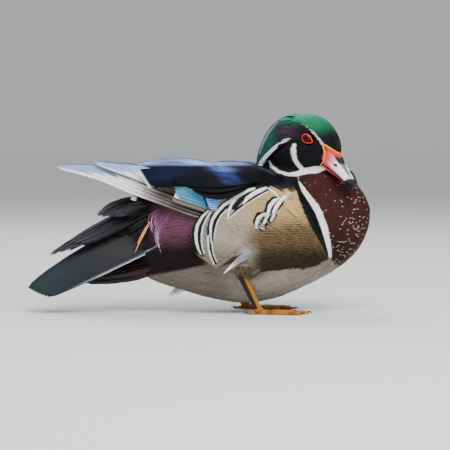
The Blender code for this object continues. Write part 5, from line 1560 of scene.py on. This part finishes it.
HAIRY = (
    ((-30, 23, 99), (-52, 24, 93), (-70, 20, 80), 0.9),
    ((-30, 24, 90), (-50, 25, 80), (-64, 22, 64), 0.9),
)
LILAC_PLUMES = (
    ((-36, 30, 102), (-50, 30, 92), (-42.5, 29, 77), 0.8),
    ((-28, 34, 99), (-45, 33, 87), (-35.5, 30.5, 61), 0.9),
)
BUFF_PLUMES = (((-47, 28.5, 92), (-56, 28.5, 76), (-63, 28, 61), 0.6),)


def upper_colour(points, number, s, t):
    colours = layered(
        shade(22, 21, 24),
        (shade(62, 62, 70), 0.55 * ease(t, 0.45, 1.0)),
        (shade(96, 88, 104), 0.5 * ease(points[:, 0], -86, -100) * ease(seen_height(points), 88, 94)),
        (shade(150, 146, 146), 0.8 * ease(points[:, 0], -143, -149)))
    return colours * barb_lines(s, t, 50, 1.5, 0.15)[:, None]


def under_colour(points, number, s, t):
    h = seen_height(points)
    colours = mix(shade(46, 22, 24), shade(24, 15, 17), ease(points[:, 0], -50, -80))
    return mix(colours, shade(70, 30, 44), 0.6 * ease(h, 46, 62) * ease(points[:, 0], -70, -45))


def hairy_colour(points, number, s, t):
    colours = mix(SOOT, shade(112, 62, 92), ease(points[:, 0], -52, -36))
    return colours * (0.8 + 0.4 * ((number * 7) % 5) / 4)[:, None]


soft_plumes("upper_tail_plumes", UPPER, (0.35, 0.6, 0.75), upper_colour, "tail_covert_feathers",
            ("tail_coverts_upper",), copies=11, spread=(6, 2.5, 2.6))
soft_plumes("under_tail_plumes", UNDER, (0, 0.6, -0.8), under_colour, "undertail_feathers", ("tail_coverts_under",),
            copies=26, spread=(10, 5, 4.5))
# Painted shade: the vent plumes start in the belly's shaded grey and whiten toward their tips
soft_plumes("vent_tuft", VENT, (0, 0.6, -0.8), lambda points, n, s, t: mix(BELLY_SHADE_GREY, WHITE, t),
            "undertail_feathers", copies=9, spread=(3, 2.5, 1.5))
soft_plumes("rump_side_plumes", HAIRY, (0.1, 1, 0.1), hairy_colour, "undertail_feathers", copies=40, spread=(8, 2, 9),
            narrow=(0.4, 1.0), tone=0.15)
soft_plumes("lilac_plumes", LILAC_PLUMES, (0.1, 1, 0.1), lambda points, n, s, t: mix(
    shade(122, 70, 108), shade(190, 152, 188), ease(t, 0.2, 0.8) * (n % 2)), "undertail_feathers", copies=24,
            spread=(6.5, 0.8, 5.0), narrow=(0.25, 0.6))
soft_plumes("buff_plumes", BUFF_PLUMES, (0.1, 1, 0.1), lambda points, n, s, t: shade(226, 162, 108),
            "undertail_feathers", copies=2, spread=(2.4, 0.3, 1.0), narrow=(0.8, 1.0))

# The legs and feet: short shanks in small horny plates, three webbed toes and a small hind toe, each with a claw.
# They are orange-yellow in front and dark behind, with dusky webs and joints.
# Both leg colours are darkened as painted shade, for the shade that falls on the legs under the body
SHADED_LEG_ORANGE = shade(162, 102, 31)
SHADED_LEG_DARK = shade(34, 27, 24)
LEG_TOP = np.array((44.5, 40.0, 37.0))
ANKLE = np.array((59.5, 33.5, 5.5))
SHANK_RINGS, SHANK_AROUND = 60, 36
TOE_RINGS, TOE_AROUND = 40, 20
CLAW_RINGS, CLAW_AROUND = 12, 10
ANKLE_RINGS, ANKLE_AROUND = 20, 28
WEB_STEPS, WEB_REACH = 12, 14
TOE_TURNS = (-24, 0, 20)
TOE_LENGTHS = (44, 50, 40)
FOOT_TURN = 8
for word, side in SIDES:
    back = np.array((LEG_BACK[side], 0, 0))
    mirror = np.array((1, side, 1))
    top, foot = LEG_TOP * mirror - back, ANKLE * mirror - back
    t = np.linspace(0, 1, SHANK_RINGS)[:, None]
    line = top + (foot + (0, 0, -1.5) - top) * t
    turn = 2 * np.pi * np.arange(SHANK_AROUND) / SHANK_AROUND
    radius = 5.4 - 1.3 * np.sin(np.pi * t * 0.8)
    plates = 0.16 * np.abs(np.sin(t * 17 * np.pi)) ** 0.5 * ease(np.cos(turn), -0.1, 0.5)
    net = 0.12 * np.sin(t * 70 + 3 * np.sin(turn * 5)) * np.sin(turn * 7) * ease(np.cos(turn), 0.3, -0.2)
    radius = radius + plates + net
    rings = line[:, None] + np.stack((radius * np.cos(turn), 0.8 * radius * np.sin(turn), 0 * radius), -1)
    points = np.concatenate((rings.reshape(-1, 3), (line[0] + (0, 0, 2), line[-1] - (0, 0, 1))))
    shank = mesh_piece("shank_" + word, points, *tube_faces(SHANK_RINGS, SHANK_AROUND))
    shank.data.flip_normals()
    front = ease(points[:, 0] - np.interp(points[:, 2], (5, 38), (foot[0], top[0])), -0.4, 0.6)
    dress(shank, mix(SHADED_LEG_DARK, SHADED_LEG_ORANGE, front), horn_material("shank_skin_" + word, 0.5), "leg", "leg_" + word)

    # The foot: toes as jointed tubes with flat soles, a thin folded web between them and curved claws
    start = np.array((ANKLE[0] + 1 - back[0], side * ANKLE[1], 0))
    parts, colours, claws = [], [], []
    headings = [math.radians(-side * (a + FOOT_TURN)) for a in TOE_TURNS]
    toes = [(heading, length, 4.6, 4.4) for heading, length in zip(headings, TOE_LENGTHS)]
    toes.append((math.pi - side * math.radians(FOOT_TURN), 13, 3.4, 3.4))
    for heading, length, width, height in toes:
        way = np.array((math.cos(heading), math.sin(heading), 0))
        across = np.array((-way[1], way[0], 0))
        t = np.linspace(0, 1, TOE_RINGS)
        size = (1 - 0.42 * t) * (1 + 0.09 * np.cos(t * 4 * np.pi)) * np.sqrt(np.clip((1.02 - t) / 0.12, 0, 1))
        size = size + 0.018 * np.abs(np.sin(t * 14 * np.pi))
        angle = 2 * np.pi * np.arange(TOE_AROUND) / TOE_AROUND
        up = np.where(np.sin(angle) > 0, np.sin(angle), 0.12 * np.sin(angle))
        rings = (start + way * (length * t)[:, None, None]
                 + across * (width / 2 * size[:, None] * np.cos(angle))[..., None]
                 + np.array((0, 0, 1)) * (0.6 + height * size[:, None] * up)[..., None])
        points = np.concatenate((rings.reshape(-1, 3), rings[[0, -1]].mean(axis=1)))
        parts.append((points, *tube_faces(TOE_RINGS, TOE_AROUND)))
        tint = mix(SHADED_LEG_ORANGE, SHADED_LEG_DARK, 0.55 * np.concatenate(
            (np.repeat(np.abs(np.sin(t * 2 * np.pi)) ** 6, TOE_AROUND), (0, 0))))
        colours.append(tint)
        tip = start + way * (length - 1.2)
        t = np.linspace(0, 1, CLAW_RINGS)
        rise = 1.9 + 0.6 * np.sin(np.pi * t) - 1.5 * t * t
        claw = tip + way * (4.6 * t)[:, None] + np.array((0, 0, 1)) * rise[:, None]
        thick = np.column_stack((1.15 * (1 - 0.9 * t), 1 - 0.9 * t))
        claws.append((tube_points(claw, thick, CLAW_AROUND), *tube_faces(CLAW_RINGS, CLAW_AROUND)))
    web_rows = []
    for i in range(2):
        for v in np.linspace(0, 1, WEB_STEPS, endpoint=i == 1):
            heading = headings[i] + (headings[i + 1] - headings[i]) * v
            reach = (toes[i][1] * (1 - v) + toes[i + 1][1] * v) * (0.93 - 0.1 * math.sin(math.pi * v))
            r = np.linspace(0.04, 1, WEB_REACH) * reach
            sag = 1.5 - 0.5 * math.sin(math.pi * v) + 0.12 * np.sin(r * 1.6)
            web_rows.append(np.column_stack((start[0] + r * math.cos(heading), start[1] + r * math.sin(heading), sag)))
    grid = np.array(web_rows)
    under = grid.copy()
    under[..., 2] = 0.3
    rings = np.concatenate((grid, under[:, ::-1]), axis=1)
    points = np.concatenate((rings.reshape(-1, 3), rings[[0, -1]].mean(axis=1)))
    parts.append((points, *tube_faces(len(grid), 2 * WEB_REACH)))
    colours.append(np.broadcast_to(shade(92, 74, 48), points.shape))
    ankle = ball_points(ANKLE_AROUND, ANKLE_RINGS) * (5, 4.4, 4.1) + (ANKLE[0] - back[0], side * ANKLE[1], 4.5)
    parts.append((ankle, *tube_faces(ANKLE_RINGS, ANKLE_AROUND)))
    colours.append(np.broadcast_to(SHADED_LEG_ORANGE * 0.8, ankle.shape))
    dress(joined("toes_" + word, parts), np.concatenate(colours), horn_material("foot_skin_" + word, 0.5), "foot",
          "foot_" + word)
    dress(joined("claws_" + word, claws), shade(40, 34, 32), horn_material("claw_" + word, 0.35), "foot")

# Floor, lights and camera: a pale studio, seen at the photo's angle through a long lens.
# The floor is one sheet of paper that bends up far behind the bird; it is stage, and no part of the model.
TARGET = Vector((0.0265, 0, 0.087))
DISTANCE = 3.0
SENSOR = 36
VIEW_WIDTH = 0.45
sweep = [(-6000, 0), (-2000, 0), (3500, 0)] + [(3500 + 1500 * math.sin(a), 1500 - 1500 * math.cos(a))
                                               for a in np.linspace(0.05, math.pi / 2, 24)] + [(5000, 5000)]
floor = mesh_piece("floor", [(x, y, z) for y, z in sweep for x in (-5000, 5000)],
                   [(2 * i, 2 * i + 1, 2 * i + 3, 2 * i + 2) for i in range(len(sweep) - 1)], [4] * (len(sweep) - 1))
paper = bpy.data.materials.new("floor_paper")
paper.use_nodes = True
paper.node_tree.nodes["Principled BSDF"].inputs["Base Color"].default_value = (0.72, 0.73, 0.72, 1)
paper.node_tree.nodes["Principled BSDF"].inputs["Roughness"].default_value = 0.9
floor.data.materials.append(paper)

for name, place, energy, size in (("key", (0.5, -1.3, 1.5), 50, 1.2), ("fill", (-1.3, -0.9, 0.8), 9, 1.4),
                                  ("rim", (-0.3, 1.2, 1.4), 16, 1.0), ("front", (1.6, 0.2, 0.9), 7, 1.0)):
    light = bpy.data.lights.new(name, "AREA")
    light.energy = energy
    light.size = size
    lamp = add_object(name, light)
    lamp.location = place
    lamp.rotation_euler = (Vector((0.03, 0, 0.1)) - Vector(place)).to_track_quat("-Z", "Y").to_euler()

world = bpy.data.worlds.new("studio")
bpy.context.scene.world = world
world.use_nodes = True
world.node_tree.nodes["Background"].inputs["Color"].default_value = (0.93, 0.96, 1.0, 1)
world.node_tree.nodes["Background"].inputs["Strength"].default_value = 0.6

lens = bpy.data.cameras.new("camera")
lens.sensor_width = SENSOR
lens.lens = SENSOR * DISTANCE / VIEW_WIDTH
camera = add_object("camera", lens)
camera.location = TARGET + DISTANCE * Vector((0, -math.cos(CAMERA_RISE), math.sin(CAMERA_RISE)))
camera.rotation_euler = (TARGET - camera.location).to_track_quat("-Z", "Y").to_euler()
bpy.context.scene.camera = camera
